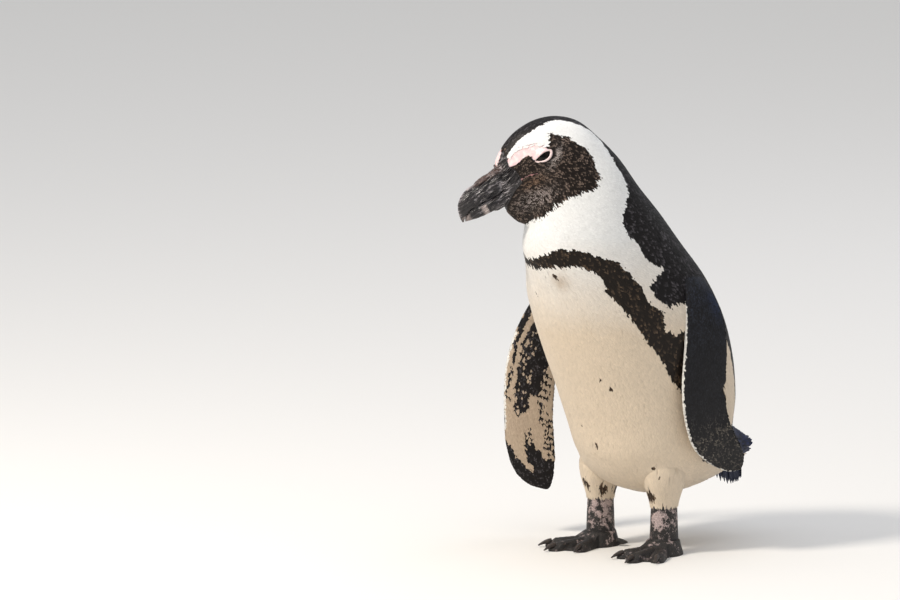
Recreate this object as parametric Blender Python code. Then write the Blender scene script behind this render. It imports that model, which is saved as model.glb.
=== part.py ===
"""African penguin, life size, standing still with its head lowered and turned to its right.

Metres, +Z up.  The bird faces -Y and its left side is +X.  Its soles rest on Z = 0, and the
origin lies on the ground under the middle of its outline.

Trunk, neck and head are lengths of one body form: sections fanned from the tail round the
throat to the bill.  Flippers, thighs and feet grow from it, and the bill, eyes and claws are
set into sockets cut for them.
"""
import bpy
import bmesh
import numpy as np
from math import cos, hypot, radians, sin, sqrt, tau
from mathutils import Matrix, Vector

# ---------------------------------------------------------------- driving dimensions
GAP = 0.0003              # clearance between solids that meet
HEAD_SEAM, NECK_SEAM = 0.040, 0.015    # share of a section step left open at each joining

# One row per body section, tail last.  Forward and height of the line along the back, the
# same for the line along the throat and belly, half width, share of the depth at which the
# section is widest, and how square it is above and below that.
BODY = [
    (0.1592, 0.3608, 0.1485, 0.3206, 0.0085, 0.50, 2.0, 1.8),    # bill base
    (0.1572, 0.3681, 0.1437, 0.3160, 0.0105, 0.46, 2.0, 1.7),    # lores
    (0.1500, 0.3800, 0.1370, 0.3105, 0.0140, 0.42, 2.0, 1.6),
    (0.1383, 0.3920, 0.1290, 0.3070, 0.0195, 0.40, 2.1, 1.6),    # forehead
    (0.1206, 0.4015, 0.1275, 0.3040, 0.0260, 0.39, 2.1, 1.6),    # eyes
    (0.1010, 0.4045, 0.1290, 0.2985, 0.0308, 0.40, 2.1, 1.7),    # cheeks
    (0.0810, 0.3995, 0.1305, 0.2920, 0.0355, 0.43, 2.1, 1.8),    # nape
    (0.0620, 0.3842, 0.1310, 0.2840, 0.0405, 0.46, 2.1, 1.9),
    (0.0435, 0.3662, 0.1285, 0.2750, 0.0470, 0.48, 2.1, 2.0),    # neck
    (0.0215, 0.3402, 0.1230, 0.2630, 0.0540, 0.50, 2.1, 2.0),
    (-0.0090, 0.3110, 0.1160, 0.2490, 0.0612, 0.50, 2.1, 2.1),   # shoulders
    (-0.0370, 0.2815, 0.1085, 0.2310, 0.0690, 0.50, 2.1, 2.1),
    (-0.0640, 0.2510, 0.0970, 0.2080, 0.0750, 0.50, 2.1, 2.1),   # breast
    (-0.0860, 0.2155, 0.0830, 0.1800, 0.0775, 0.50, 2.1, 2.1),
    (-0.0980, 0.1790, 0.0670, 0.1500, 0.0775, 0.50, 2.1, 2.1),   # belly
    (-0.1020, 0.1450, 0.0520, 0.1180, 0.0755, 0.50, 2.1, 2.1),
    (-0.1030, 0.1235, 0.0390, 0.0860, 0.0690, 0.50, 2.1, 2.1),
    (-0.1085, 0.1130, 0.0140, 0.0600, 0.0580, 0.50, 2.1, 2.1),   # rump
    (-0.1175, 0.1065, -0.0300, 0.0500, 0.0450, 0.50, 2.1, 2.1),
    (-0.1280, 0.0995, -0.0800, 0.0560, 0.0340, 0.50, 2.1, 2.1),
    (-0.1385, 0.0920, -0.1190, 0.0690, 0.0255, 0.50, 2.1, 2.1),  # tail root
]
HEAD_END, NECK_END = 6.0, 10.0      # section numbers where the neck and the trunk begin
TAIL_END = len(BODY) - 1
RING_POINTS = 32

HEAD_YAW = radians(33)              # the head turns to the bird's right about this line
YAW_FORWARD = 0.091
YAW_FULL, YAW_NONE = 5.5, 11.0      # section numbers where the turn is complete and begins

EYES_FORWARD, EYES_UP = 0.121, 0.371   # point midway between the eyes, before the turn
HEAD_PITCH = radians(31)               # how far the head frame nods down
EYE_RADIUS = 0.009
EYE_SIDE = 0.0204                   # from the middle of the head to the middle of an eye
EYE_BACK, EYE_DOWN = 0.0032, 0.0019    # the eyeball's middle, from the head frame's origin

# Bill sections in the head frame: forward and up of the ridge, of the lower edge, half width.
BILL_UPPER = [
    (0.0230, 0.0060, 0.0220, -0.0105, 0.0088), (0.0330, 0.0090, 0.0325, -0.0112, 0.0096),
    (0.0440, 0.0092, 0.0430, -0.0116, 0.0092), (0.0550, 0.0084, 0.0530, -0.0115, 0.0080),
    (0.0650, 0.0070, 0.0630, -0.0108, 0.0069), (0.0735, 0.0053, 0.0715, -0.0102, 0.0060),
    (0.0805, 0.0020, 0.0775, -0.0108, 0.0050), (0.0855, -0.0045, 0.0815, -0.0122, 0.0038),
    (0.0876, -0.0112, 0.0842, -0.0144, 0.0024), (0.0880, -0.0164, 0.0868, -0.0170, 0.0009),
]
BILL_LOWER = [
    (0.0240, -0.0118, 0.0290, -0.0190, 0.0080), (0.0345, -0.0122, 0.0400, -0.0226, 0.0088),
    (0.0445, -0.0125, 0.0510, -0.0250, 0.0086), (0.0540, -0.0124, 0.0600, -0.0232, 0.0075),
    (0.0635, -0.0118, 0.0690, -0.0220, 0.0064), (0.0715, -0.0112, 0.0765, -0.0203, 0.0054),
    (0.0775, -0.0122, 0.0818, -0.0186, 0.0042), (0.0826, -0.0149, 0.0852, -0.0175, 0.0018),
]
BILL_WIDEST, BILL_SQUARE = 0.55, 2.2

# Flippers, from the shoulder to the tip.  Place of the middle of the blade, width, thickness.
FLIPPER_LEFT = [(0.060, 0.004, 0.257), (0.0750, 0.003, 0.237), (0.0815, 0.004, 0.214),
                (0.0845, 0.002, 0.188), (0.0850, -0.001, 0.162), (0.0850, 0.001, 0.138),
                (0.0845, 0.009, 0.116), (0.0835, 0.024, 0.100), (0.0820, 0.0415, 0.087),
                (0.0810, 0.056, 0.0765)]
FLIPPER_RIGHT = [(-0.056, 0.012, 0.262), (-0.077, 0.006, 0.240), (-0.094, 0.000, 0.214),
                 (-0.108, -0.003, 0.187), (-0.116, -0.006, 0.161), (-0.119, -0.007, 0.135),
                 (-0.1195, -0.007, 0.110), (-0.1183, -0.0061, 0.086), (-0.1142, -0.003, 0.0645),
                 (-0.1055, 0.0045, 0.0435)]
FLIPPER_WIDTH = [0.026, 0.034, 0.042, 0.0455, 0.046, 0.0455, 0.044, 0.0435, 0.037, 0.012]
LEFT_NARROWED = [1, 1, 1, 1, 1, 1, 0.977, 0.816, 0.703, 0.833]     # the left is more pointed
FLIPPER_THICK = [0.016, 0.014, 0.0105, 0.0085, 0.0070, 0.0060, 0.0050, 0.0040, 0.0030, 0.0018]
CHORD_LEFT, CHORD_RIGHT = radians(16), radians(48)   # trailing edge, from straight back
FLIPPER_FULLEST = 0.40              # how far the fullest line sits towards the leading edge

TAIL_ROOT = (0.0, 0.1275, 0.0835)
TAIL_DROP = radians(68)             # below level
TAIL_LENGTH = 0.042
TAIL_HALF_WIDTH, TAIL_TIP_HALF = 0.0160, 0.0185
TAIL_THICK, TAIL_EDGE = 0.0165, 0.0012
TAIL_FEATHERS = 9

ANKLE_SIDE = 0.038
THIGH_LEVELS, THIGH_HEM = [0.108, 0.094, 0.080, 0.066, 0.051], 0.051
THIGH_SIZES = [(0.0100, 0.0120), (0.0190, 0.0220), (0.0195, 0.0225), (0.0172, 0.0198),
               (0.0130, 0.0150)]   # half across, half along
SHANK_SIZE, ANKLE_SIZE = (0.0105, 0.0130), (0.0120, 0.0145)
ANKLE_HEIGHT = 0.0135

FOOT_TURN = radians(9)              # toes point outward
TOES = [(radians(-25), 0.050), (radians(0), 0.060), (radians(24), 0.052)]   # turn, reach
TOE_HALF_WIDTH, TOE_HEIGHT, TOE_TIP_HEIGHT = 0.0062, 0.0100, 0.0078
WEB_REACH, WEB_SAG, WEB_THICK = 0.048, 0.14, 0.0030
SOLE_EDGE = 0.0018                  # height of the sole's upright rim
HEEL_RADIUS = 0.0175
INSTEP_REACH, INSTEP_RUN = 0.036, 0.022   # where the foot starts to rise, and over how far
CLAW_LENGTH, CLAW_ROOT, CLAW_TIP = 0.0125, 0.0026, 0.0006
CLAW_HEIGHT, CLAW_DROP, CLAW_SEAT = 0.0052, 0.0036, 0.0055
HIND_TOE_TURN, HIND_TOE_LENGTH, HIND_TOE_RADIUS = radians(-118), 0.0125, 0.0032
HIND_TOE_HEIGHT, HIND_TOE_SEAT = 0.0050, 0.0055

BLACK, WHITE, CREAM, SLATE = (0.012,) * 3, (0.8, 0.8, 0.78), (0.62, 0.55, 0.44), (0.03, 0.033, 0.042)
HORN, EYE_DARK, FOOT_DARK = (0.016, 0.013, 0.012), (0.01, 0.006, 0.005), (0.025, 0.02, 0.02)


# ---------------------------------------------------------------- shapes
def spline(keys, at):
    """Smooth curve through equally spaced keys, read at the numbers in at."""
    keys = np.asarray(keys, float)
    at = np.clip(np.asarray(at, float), 0, len(keys) - 1)
    low = np.minimum(at.astype(int), len(keys) - 2)
    t = (at - low)[..., None]
    padded = np.vstack([2 * keys[0] - keys[1], keys, 2 * keys[-1] - keys[-2]])
    a, b, c, d = (padded[low + k] for k in range(4))
    return 0.5 * (2 * b + (c - a) * t + (2 * a - 5 * b + 4 * c - d) * t**2
                  + (3 * b - a - 3 * c + d) * t**3)


def egg(top, bottom, half_width, widest, square_top, square_bottom, angles):
    """Points round a section between top and bottom, given as (forward, up)."""
    c, s = np.cos(angles), np.sin(angles)
    power = np.where(c >= 0, 2 / square_top, 2 / square_bottom)
    depth = np.where(c >= 0, widest * (1 - np.abs(c)**power),
                     widest + (1 - widest) * np.abs(c)**power)
    side = np.sign(s) * half_width * np.abs(s)**power
    line = np.asarray(top) + depth[:, None] * (np.asarray(bottom) - np.asarray(top))
    return np.stack([side, -line[:, 0], line[:, 1]], -1)


def turned(points, share):
    """The points swung to the bird's right by a share of the head's turn."""
    swing = -HEAD_YAW * share
    x, y = points[..., 0], points[..., 1] + YAW_FORWARD
    return np.stack([cos(swing) * x - sin(swing) * y,
                     sin(swing) * x + cos(swing) * y - YAW_FORWARD, points[..., 2]], -1)


def body_ring(number):
    """One section of the body form, by its fractional number in BODY."""
    f1, z1, f2, z2, width, widest, square_top, square_bottom = spline(BODY, number)
    angles = np.arange(RING_POINTS) / RING_POINTS * tau
    ring = egg((f1, z1), (f2, z2), width, widest, square_top, square_bottom, angles)
    share = np.clip((YAW_NONE - number) / (YAW_NONE - YAW_FULL), 0, 1)
    return turned(ring, share * share * (3 - 2 * share))


def head_place(points):
    """Points given as (side, -forward, up) in the head frame, moved to the bird."""
    c, s = cos(HEAD_PITCH), sin(HEAD_PITCH)
    side, forward, up = points[..., 0], -points[..., 1], points[..., 2]
    moved = np.stack([side, -(forward * c + up * s) - EYES_FORWARD,
                      up * c - forward * s + EYES_UP], -1)
    return turned(moved, 1.0)


def loft(name, rings, color, roughness=0.6, ladder_ends=False):
    """A closed body through rings of equal length.

    Each end is closed by one flat face, or by a ladder of faces between the two sides of a
    ring that isn't flat.
    """
    bm = bmesh.new()
    rows = [[bm.verts.new(point) for point in ring] for ring in rings]
    count = len(rows[0])
    for near, far in zip(rows, rows[1:]):
        for i in range(count):
            j = (i + 1) % count
            bm.faces.new((near[i], near[j], far[j], far[i]))
    for row in (rows[0], rows[-1]):
        if ladder_ends:
            for i in range(count // 2 - 1):
                bm.faces.new((row[i], row[i + 1], row[-2 - i], row[-1 - i]))
        else:
            bm.faces.new(row)
    bmesh.ops.recalc_face_normals(bm, faces=bm.faces)
    return finished(name, bm, color, roughness)


def finished(name, bm, color, roughness):
    """Turn the mesh into a smooth-shaded object with its own material."""
    mesh = bpy.data.meshes.new(name)
    bm.to_mesh(mesh)
    bm.free()
    mesh.shade_smooth()
    mesh.set_sharp_from_angle(angle=radians(50))
    obj = bpy.data.objects.new(name, mesh)
    parts.objects.link(obj)
    material = bpy.data.materials.new(name)
    material.use_nodes = True
    shader = material.node_tree.nodes["Principled BSDF"]
    shader.inputs["Base Color"].default_value = (*color, 1.0)
    shader.inputs["Roughness"].default_value = roughness
    mesh.materials.append(material)
    obj.parent = bird
    return obj


def cutter(obj, margin=GAP):
    """A hidden copy of a body, grown by a margin all round."""
    mesh = obj.data.copy()
    bm = bmesh.new()
    bm.from_mesh(mesh)
    for vert in bm.verts:
        vert.co += vert.normal * margin
    bm.to_mesh(mesh)
    bm.free()
    copy = bpy.data.objects.new(obj.name + "_cutter", mesh)
    copy.hide_render = True
    copy.display_type = "WIRE"
    copy.location = obj.location
    copy.parent = bird
    cutters.objects.link(copy)
    return copy


def cut(obj, tool):
    """Take the tool's shape out of the object."""
    boolean = obj.modifiers.new("Cut " + tool.name, "BOOLEAN")
    boolean.operation = "DIFFERENCE"
    boolean.solver = "EXACT"
    boolean.object = tool


# ---------------------------------------------------------------- pieces
def body_length(name, first, last, rings, color):
    """A length of the body form between two section numbers."""
    return loft(name, [body_ring(n) for n in np.linspace(first, last, rings)], color)


def bill_half(name, sections, rings):
    """Upper or lower half of the bill: deep, narrow, with a rounded ridge."""
    angles = np.arange(16) / 16 * tau
    rows = []
    for n in np.linspace(0, len(sections) - 1, rings):
        f1, z1, f2, z2, width = spline(sections, n)
        rows.append(head_place(egg((f1, z1), (f2, z2), width, BILL_WIDEST, BILL_SQUARE,
                                   BILL_SQUARE, angles)))
    return loft(name, rows, HORN, 0.4)


def eye(name, side):
    """The whole eyeball, in the socket that the head is cut for."""
    centre = head_place(np.array([side * EYE_SIDE, EYE_BACK, -EYE_DOWN]))
    bm = bmesh.new()
    bmesh.ops.create_uvsphere(bm, u_segments=14, v_segments=8, radius=EYE_RADIUS)
    ball = finished(name, bm, EYE_DARK, 0.1)
    ball.location = centre
    return ball


def flipper(name, middles, chord_turn, side):
    """A thin blade, fullest near its leading edge, tapering to a round tip."""
    across = np.array([side * sin(chord_turn), cos(chord_turn), 0.0])
    angles = np.arange(14) / 14 * tau
    rows = []
    last = len(middles) - 1
    for n in np.linspace(0, last, 15):
        middle = spline(middles, n)
        width, = spline(np.reshape(FLIPPER_WIDTH, (-1, 1)), n)
        if side > 0:
            width *= np.interp(n, range(last + 1), LEFT_NARROWED)
        thick, = spline(np.reshape(FLIPPER_THICK, (-1, 1)), n)
        along = spline(middles, min(n + 0.2, last)) - spline(middles, max(n - 0.2, 0))
        along /= np.linalg.norm(along)
        chord = across - along * np.dot(across, along)
        chord /= np.linalg.norm(chord)
        outward = side * np.cross(along, chord)
        share = -np.cos(angles)
        fullness = np.sin(angles) * (1 - FLIPPER_FULLEST * share)
        rows.append(middle + np.outer(share * width / 2, chord)
                    + np.outer(fullness * thick / 2, outward))
    return loft(name, rows, SLATE if side > 0 else CREAM)


def tail():
    """A short wedge of stiff feathers, its edge notched between their points."""
    down = np.array([0.0, cos(TAIL_DROP), -sin(TAIL_DROP)])
    up = np.array([0.0, sin(TAIL_DROP), cos(TAIL_DROP)])
    steps = TAIL_FEATHERS * 2
    lateral = np.linspace(-1, 1, steps + 1)
    notch = np.where(np.arange(steps + 1) % 2 == 0, 0.90, 1.0)
    reach = TAIL_LENGTH * (1 - 0.22 * lateral**2) * notch
    rings = []
    for s in np.linspace(0, 1, 5):
        width = TAIL_HALF_WIDTH + (TAIL_TIP_HALF - TAIL_HALF_WIDTH) * s**0.8
        plan = np.outer(lateral * width, (1.0, 0, 0)) + np.outer(reach * s, down)
        half = (TAIL_THICK * (1 - s) * np.sqrt(1.05 - lateral**2) + TAIL_EDGE) / 2
        rim = np.outer(half, up)
        rings.append(np.vstack([plan + rim, (plan - rim)[::-1]]) + TAIL_ROOT)
    return loft("tail", rings, BLACK, ladder_ends=True)


def column(name, side, levels, sizes, color, points=18):
    """An upright leg length of oval section, over the ankle."""
    angles = np.arange(points) / points * tau
    rows = []
    for level, (half_x, half_y) in zip(levels, sizes):
        rows.append(np.stack([side * ANKLE_SIDE + half_x * np.cos(angles),
                              half_y * np.sin(angles), np.full(points, level)], -1))
    return loft(name, rows, color)


def on_foot(side, ring):
    """Points drawn round an ankle at the origin, toes along -Y, moved to their foot."""
    matrix = Matrix.Translation((side * ANKLE_SIDE, 0, 0)) @ Matrix.Rotation(side * FOOT_TURN, 4, "Z")
    return np.array([matrix @ Vector(point) for point in ring])


def ground_line(side, turn):
    """Unit direction on the ground, turned outward from straight ahead."""
    return np.array([side * sin(turn), -cos(turn)])


def beside(spot, line):
    """How far a point of the ground lies to the side of a line through the ankle."""
    return abs(spot[0] * line[1] - spot[1] * line[0])


def toe_reach(ray, line, length):
    """How far a ray from the ankle runs inside a round-ended toe."""
    along, off = float(ray @ line), beside(ray, line)
    if along <= 0:
        return 0.0
    centre = length - TOE_HALF_WIDTH
    inside = TOE_HALF_WIDTH**2 - (centre * off)**2
    return centre * along + sqrt(inside) if inside > 0 else TOE_HALF_WIDTH / off


def foot_height(spot, share, toes):
    """Height of the foot's upper side; share is 1 at the rim and falls towards the ankle."""
    height = WEB_THICK
    for line, length in toes:
        along = float(spot @ line)
        if along > 0:
            ridge = TOE_HEIGHT + (TOE_TIP_HEIGHT - TOE_HEIGHT) * min(along / length, 1)
            side_share = min(beside(spot, line) / (TOE_HALF_WIDTH * 1.35), 1)
            height = max(height, ridge * sqrt(1 - side_share**2))
    rise = min(max((INSTEP_REACH - hypot(*spot)) / INSTEP_RUN, 0), 1)
    height = max(height, ANKLE_HEIGHT * rise)
    return SOLE_EDGE + (height - SOLE_EDGE) * min(1, (1 - share) / 0.18)


def foot(name, side):
    """Three toes joined by webs, with a flat sole and a domed heel."""
    toes = [(ground_line(side, turn), length) for turn, length in TOES]
    turns = np.radians(np.concatenate([np.arange(-38.4, 38.5, 2.4), np.linspace(52, 308, 12)]))
    outline = []
    for turn in turns:
        ray = ground_line(side, turn)
        reach = HEEL_RADIUS * (1 + 0.25 * max(0, cos(turn)))
        if TOES[0][0] <= turn <= TOES[-1][0]:
            reach = WEB_REACH * (1 - WEB_SAG + WEB_SAG * cos(turn * 3))
        for line, length in toes:
            reach = max(reach, toe_reach(ray, line, length))
        outline.append(ray * reach)
    rings = [[(*spot, 0) for spot in outline]]
    for share in (1.0, 0.90, 0.74, 0.56, 0.38):
        rings.append([(*(spot * share), foot_height(spot * share, share, toes)) for spot in outline])
    rays = [spot / hypot(*spot) for spot in outline]
    rings.append([(x * ANKLE_SIZE[0], y * ANKLE_SIZE[1], ANKLE_HEIGHT) for x, y in rays])
    return loft(name, [on_foot(side, ring) for ring in rings], FOOT_DARK)


def digit(name, side, turn, stations, points, color, roughness):
    """A round finger along a ground line: reach, height, radius and tilt at each station."""
    line = np.array([*ground_line(side, turn), 0])
    level = np.array([line[1], -line[0], 0])
    angles = np.arange(points) / points * tau
    rings = []
    for reach, height, radius, tilt in stations:
        up = line * sin(tilt) + np.array([0, 0, cos(tilt)])
        rim = np.outer(np.cos(angles), level) + np.outer(np.sin(angles), up)
        rings.append(on_foot(side, line * reach + np.array([0, 0, height]) + rim * radius))
    return loft(name, rings, color, roughness)


def claw(name, side, turn, toe_length):
    """A curved horn point set into the end of a toe."""
    stations = [(toe_length - CLAW_SEAT + CLAW_LENGTH * s, CLAW_HEIGHT - CLAW_DROP * s**2,
                 CLAW_ROOT + (CLAW_TIP - CLAW_ROOT) * s**1.4, radians(4 + 46 * s))
                for s in np.linspace(0, 1, 5)]
    return digit(name, side, turn, stations, 8, HORN, 0.4)


def hind_toe(name, side):
    """The small fourth toe, low on the inner side of the heel."""
    stations = [(HEEL_RADIUS - HIND_TOE_SEAT + HIND_TOE_LENGTH * s, HIND_TOE_HEIGHT,
                 HIND_TOE_RADIUS * (1 - 0.55 * s**2), 0) for s in np.linspace(0, 1, 5)]
    return digit(name, side, HIND_TOE_TURN, stations, 10, FOOT_DARK, 0.6)


# ---------------------------------------------------------------- the bird
for leftover in list(bpy.data.objects):
    bpy.data.objects.remove(leftover)
parts = bpy.data.collections.new("African penguin")
cutters = bpy.data.collections.new("Cutters")
bpy.context.scene.collection.children.link(parts)
bpy.context.scene.collection.children.link(cutters)
bird = bpy.data.objects.new("Bird", None)
parts.objects.link(bird)

head = body_length("head", 0.0, HEAD_END, 22, BLACK)
neck = body_length("neck", HEAD_END + HEAD_SEAM, NECK_END, 10, WHITE)
trunk = body_length("trunk", NECK_END + NECK_SEAM, TAIL_END, 27, WHITE)
trunk_tool = cutter(trunk)

for name, sections, rings in (("bill_upper", BILL_UPPER, 15), ("bill_lower", BILL_LOWER, 13)):
    cut(head, cutter(bill_half(name, sections, rings)))

tail_wedge = tail()
cut(tail_wedge, trunk_tool)

for side, word in ((1, "left"), (-1, "right")):
    cut(head, cutter(eye("eye_" + word, side)))
    middles = FLIPPER_LEFT if side > 0 else FLIPPER_RIGHT
    chord = CHORD_LEFT if side > 0 else -CHORD_RIGHT
    cut(flipper("flipper_" + word, middles, chord, side), trunk_tool)

    thigh = column("thigh_" + word, side, THIGH_LEVELS, THIGH_SIZES, CREAM)
    cut(thigh, trunk_tool)
    column("shank_" + word, side, np.linspace(THIGH_HEM - GAP, ANKLE_HEIGHT + GAP, 3),
           np.linspace(SHANK_SIZE, ANKLE_SIZE, 3), FOOT_DARK, 16)
    sole = foot("foot_" + word, side)
    for number, (turn, length) in enumerate(TOES, 1):
        nail = claw(f"claw_{word}_{number}", side, turn, length)
        cut(sole, cutter(nail))
    cut(sole, cutter(hind_toe("hind_toe_" + word, side)))

# The origin goes on the ground under the middle of the whole outline.
bpy.context.view_layer.update()
graph = bpy.context.evaluated_depsgraph_get()
corners = []
for obj in parts.objects:
    if obj.type == "MESH":
        seen = obj.evaluated_get(graph)
        corners += [seen.matrix_world @ Vector(corner) for corner in seen.bound_box]
corners = np.array(corners)
middle = (corners.min(axis=0) + corners.max(axis=0)) / 2
bird.location = (-middle[0], -middle[1], 0.0)
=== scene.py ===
"""African penguin, a life-size museum model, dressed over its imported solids.

Metres, +Z up.  The bird faces -Y, its left side is +X and it stands on Z = 0.
"""
from math import cos, pi, radians, sin, tau

import bpy
import numpy as np
from mathutils import Matrix, Vector, noise
from mathutils.bvhtree import BVHTree
from mathutils.kdtree import KDTree


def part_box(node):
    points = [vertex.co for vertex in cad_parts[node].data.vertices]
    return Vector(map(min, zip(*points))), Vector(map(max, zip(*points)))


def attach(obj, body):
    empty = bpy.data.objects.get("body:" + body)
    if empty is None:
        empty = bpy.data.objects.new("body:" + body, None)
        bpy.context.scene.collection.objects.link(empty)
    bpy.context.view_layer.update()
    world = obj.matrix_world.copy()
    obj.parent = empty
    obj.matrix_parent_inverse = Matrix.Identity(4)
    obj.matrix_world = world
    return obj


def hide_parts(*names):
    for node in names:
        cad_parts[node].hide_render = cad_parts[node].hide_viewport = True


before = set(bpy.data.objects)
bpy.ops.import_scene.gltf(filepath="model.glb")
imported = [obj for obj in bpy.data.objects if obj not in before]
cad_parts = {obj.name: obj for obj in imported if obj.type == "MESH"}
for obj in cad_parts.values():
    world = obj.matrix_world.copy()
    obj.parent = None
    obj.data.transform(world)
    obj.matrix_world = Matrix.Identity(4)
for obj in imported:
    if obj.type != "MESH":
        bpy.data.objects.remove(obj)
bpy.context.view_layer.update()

# ------------------------------------------------------------------------- stage and camera
# A pale floor that meets the air without a corner, a long lens 7 m off, and soft lamps: the main
# one high on the left, a wide pale one on the right, one behind for the edge and one overhead.
VIEW_TURN, VIEW_RISE = radians(42), radians(8)
VIEW_DISTANCE, LENS = 7.0, 308.0
VIEW_ASIDE, VIEW_ABOVE = -0.1655, 0.2264      # from between the ankles to the picture's middle


def paint(code):
    """Linear colour of an sRGB hex value."""
    shares = [int(code[i:i + 2], 16) / 255 for i in (1, 3, 5)]
    return (*(s / 12.92 if s <= 0.04045 else ((s + 0.055) / 1.055)**2.4 for s in shares), 1.0)


def node(tree, kind, feeds=None, **settings):
    """Add a node with its settings, and feed its inputs from other nodes' sockets or values."""
    made = tree.nodes.new(kind)
    for key, value in settings.items():
        setattr(made, key, value)
    for socket, source in (feeds or {}).items():
        if isinstance(source, bpy.types.NodeSocket):
            tree.links.new(source, made.inputs[socket])
        else:
            made.inputs[socket].default_value = source
    return made


def material(name):
    """A new material, its node tree and its surface shader."""
    made = bpy.data.materials.new(name)
    made.use_nodes = True
    return made, made.node_tree, made.node_tree.nodes["Principled BSDF"]


def middle(*names):
    """Middle of the box round some of the solids."""
    corners = np.array([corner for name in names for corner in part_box(name)])
    return (corners.min(axis=0) + corners.max(axis=0)) / 2


ankles = middle("shank_left", "shank_right") * (1, 1, 0)
toward = np.array([sin(VIEW_TURN) * cos(VIEW_RISE), -cos(VIEW_TURN) * cos(VIEW_RISE), sin(VIEW_RISE)])
aside = np.array([cos(VIEW_TURN), sin(VIEW_TURN), 0.0])
above = np.cross(toward, aside)
aim = ankles + VIEW_ASIDE * aside + VIEW_ABOVE * above
camera = bpy.data.objects.new("camera", bpy.data.cameras.new("camera"))
camera.data.lens = LENS
camera.data.clip_end = 60
camera.matrix_world = Matrix.Translation(aim + toward * VIEW_DISTANCE) @ Matrix(
    np.column_stack([aside, above, toward]).tolist()).to_4x4()
bpy.context.scene.collection.objects.link(camera)
bpy.context.scene.camera = camera

floor_mesh = bpy.data.meshes.new("floor")
floor_mesh.from_pydata([(-30, -30, 0), (30, -30, 0), (30, 30, 0), (-30, 30, 0)], [], [(0, 1, 2, 3)])
floor = bpy.data.objects.new("floor", floor_mesh)
bpy.context.scene.collection.objects.link(floor)
# Matt studio paint: an even pale grey.
studio_paint, tree, shader = material("matt_studio_paint")
shader.inputs["Base Color"].default_value = paint("#eceae6")
shader.inputs["Roughness"].default_value = 0.9
shader.inputs["Specular IOR Level"].default_value = 0.2
floor_mesh.materials.append(studio_paint)


def lamp(name, turn, rise, distance, size, power, tint):
    """A square soft lamp aimed at the bird, placed by turn from straight ahead and rise."""
    light = bpy.data.lights.new(name, "AREA")
    light.size = size
    light.energy = power
    light.color = paint(tint)[:3]
    made = bpy.data.objects.new(name, light)
    way = Vector((sin(turn) * cos(rise), -cos(turn) * cos(rise), sin(rise)))
    made.location = Vector(ankles) + Vector((0, 0, 0.22)) + way * distance
    made.rotation_euler = way.to_track_quat("Z", "Y").to_euler()
    bpy.context.scene.collection.objects.link(made)


lamp("key", radians(-14), radians(44), 2.6, 0.45, 50, "#fff7ec")
lamp("fill", radians(95), radians(20), 3.2, 2.6, 5, "#eef3ff")
lamp("rim", radians(185), radians(38), 3.0, 1.2, 7, "#e8eeff")
lamp("ceiling", 0.0, radians(90), 9.0, 14.0, 520, "#f6f8ff")
world = bpy.data.worlds.new("studio air")
world.use_nodes = True
world.node_tree.nodes["Background"].inputs["Color"].default_value = paint("#e6e7e8")
world.node_tree.nodes["Background"].inputs["Strength"].default_value = 0.50
bpy.context.scene.world = world
bpy.context.scene.view_settings.view_transform = "Standard"

# ------------------------------------------------------------------------- body form
# Trunk, neck and head are one rounded form from the bill to the tail root, as the flesh and
# its coat are on the bird.  Sections are numbered from the bill base; angles start at the back.
BODY = [
    (0.1592, 0.3608, 0.1485, 0.3206, 0.0085, 0.50, 2.0, 1.8),    # bill base
    (0.1572, 0.3681, 0.1437, 0.3160, 0.0105, 0.46, 2.0, 1.7),    # lores
    (0.1500, 0.3800, 0.1370, 0.3105, 0.0140, 0.42, 2.0, 1.6),
    (0.1383, 0.3920, 0.1290, 0.3070, 0.0195, 0.40, 2.1, 1.6),    # forehead
    (0.1206, 0.4015, 0.1275, 0.3040, 0.0260, 0.39, 2.1, 1.6),    # eyes
    (0.1010, 0.4045, 0.1290, 0.2985, 0.0308, 0.40, 2.1, 1.7),    # cheeks
    (0.0810, 0.3995, 0.1305, 0.2920, 0.0355, 0.43, 2.1, 1.8),    # nape
    (0.0620, 0.3842, 0.1310, 0.2840, 0.0405, 0.46, 2.1, 1.9),
    (0.0435, 0.3662, 0.1285, 0.2750, 0.0470, 0.48, 2.1, 2.0),    # neck
    (0.0215, 0.3402, 0.1230, 0.2630, 0.0540, 0.50, 2.1, 2.0),
    (-0.0090, 0.3110, 0.1160, 0.2490, 0.0612, 0.50, 2.1, 2.1),   # shoulders
    (-0.0370, 0.2815, 0.1085, 0.2310, 0.0690, 0.50, 2.1, 2.1),
    (-0.0640, 0.2510, 0.0970, 0.2080, 0.0750, 0.50, 2.1, 2.1),   # breast
    (-0.0860, 0.2155, 0.0830, 0.1800, 0.0775, 0.50, 2.1, 2.1),
    (-0.0980, 0.1790, 0.0670, 0.1500, 0.0775, 0.50, 2.1, 2.1),   # belly
    (-0.1020, 0.1450, 0.0520, 0.1180, 0.0755, 0.50, 2.1, 2.1),
    (-0.1030, 0.1235, 0.0390, 0.0860, 0.0690, 0.50, 2.1, 2.1),
    (-0.1085, 0.1130, 0.0140, 0.0600, 0.0580, 0.50, 2.1, 2.1),   # rump
    (-0.1175, 0.1065, -0.0300, 0.0500, 0.0450, 0.50, 2.1, 2.1),
    (-0.1280, 0.0995, -0.0800, 0.0560, 0.0340, 0.50, 2.1, 2.1),
    (-0.1385, 0.0920, -0.1190, 0.0690, 0.0255, 0.50, 2.1, 2.1),  # tail root
]
TAIL_END = len(BODY) - 1
HEAD_YAW, YAW_FORWARD = radians(33), 0.091
YAW_FULL, YAW_NONE = 5.5, 11.0
EYES_FORWARD, EYES_UP = 0.121, 0.371
HEAD_PITCH = radians(31)


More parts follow.
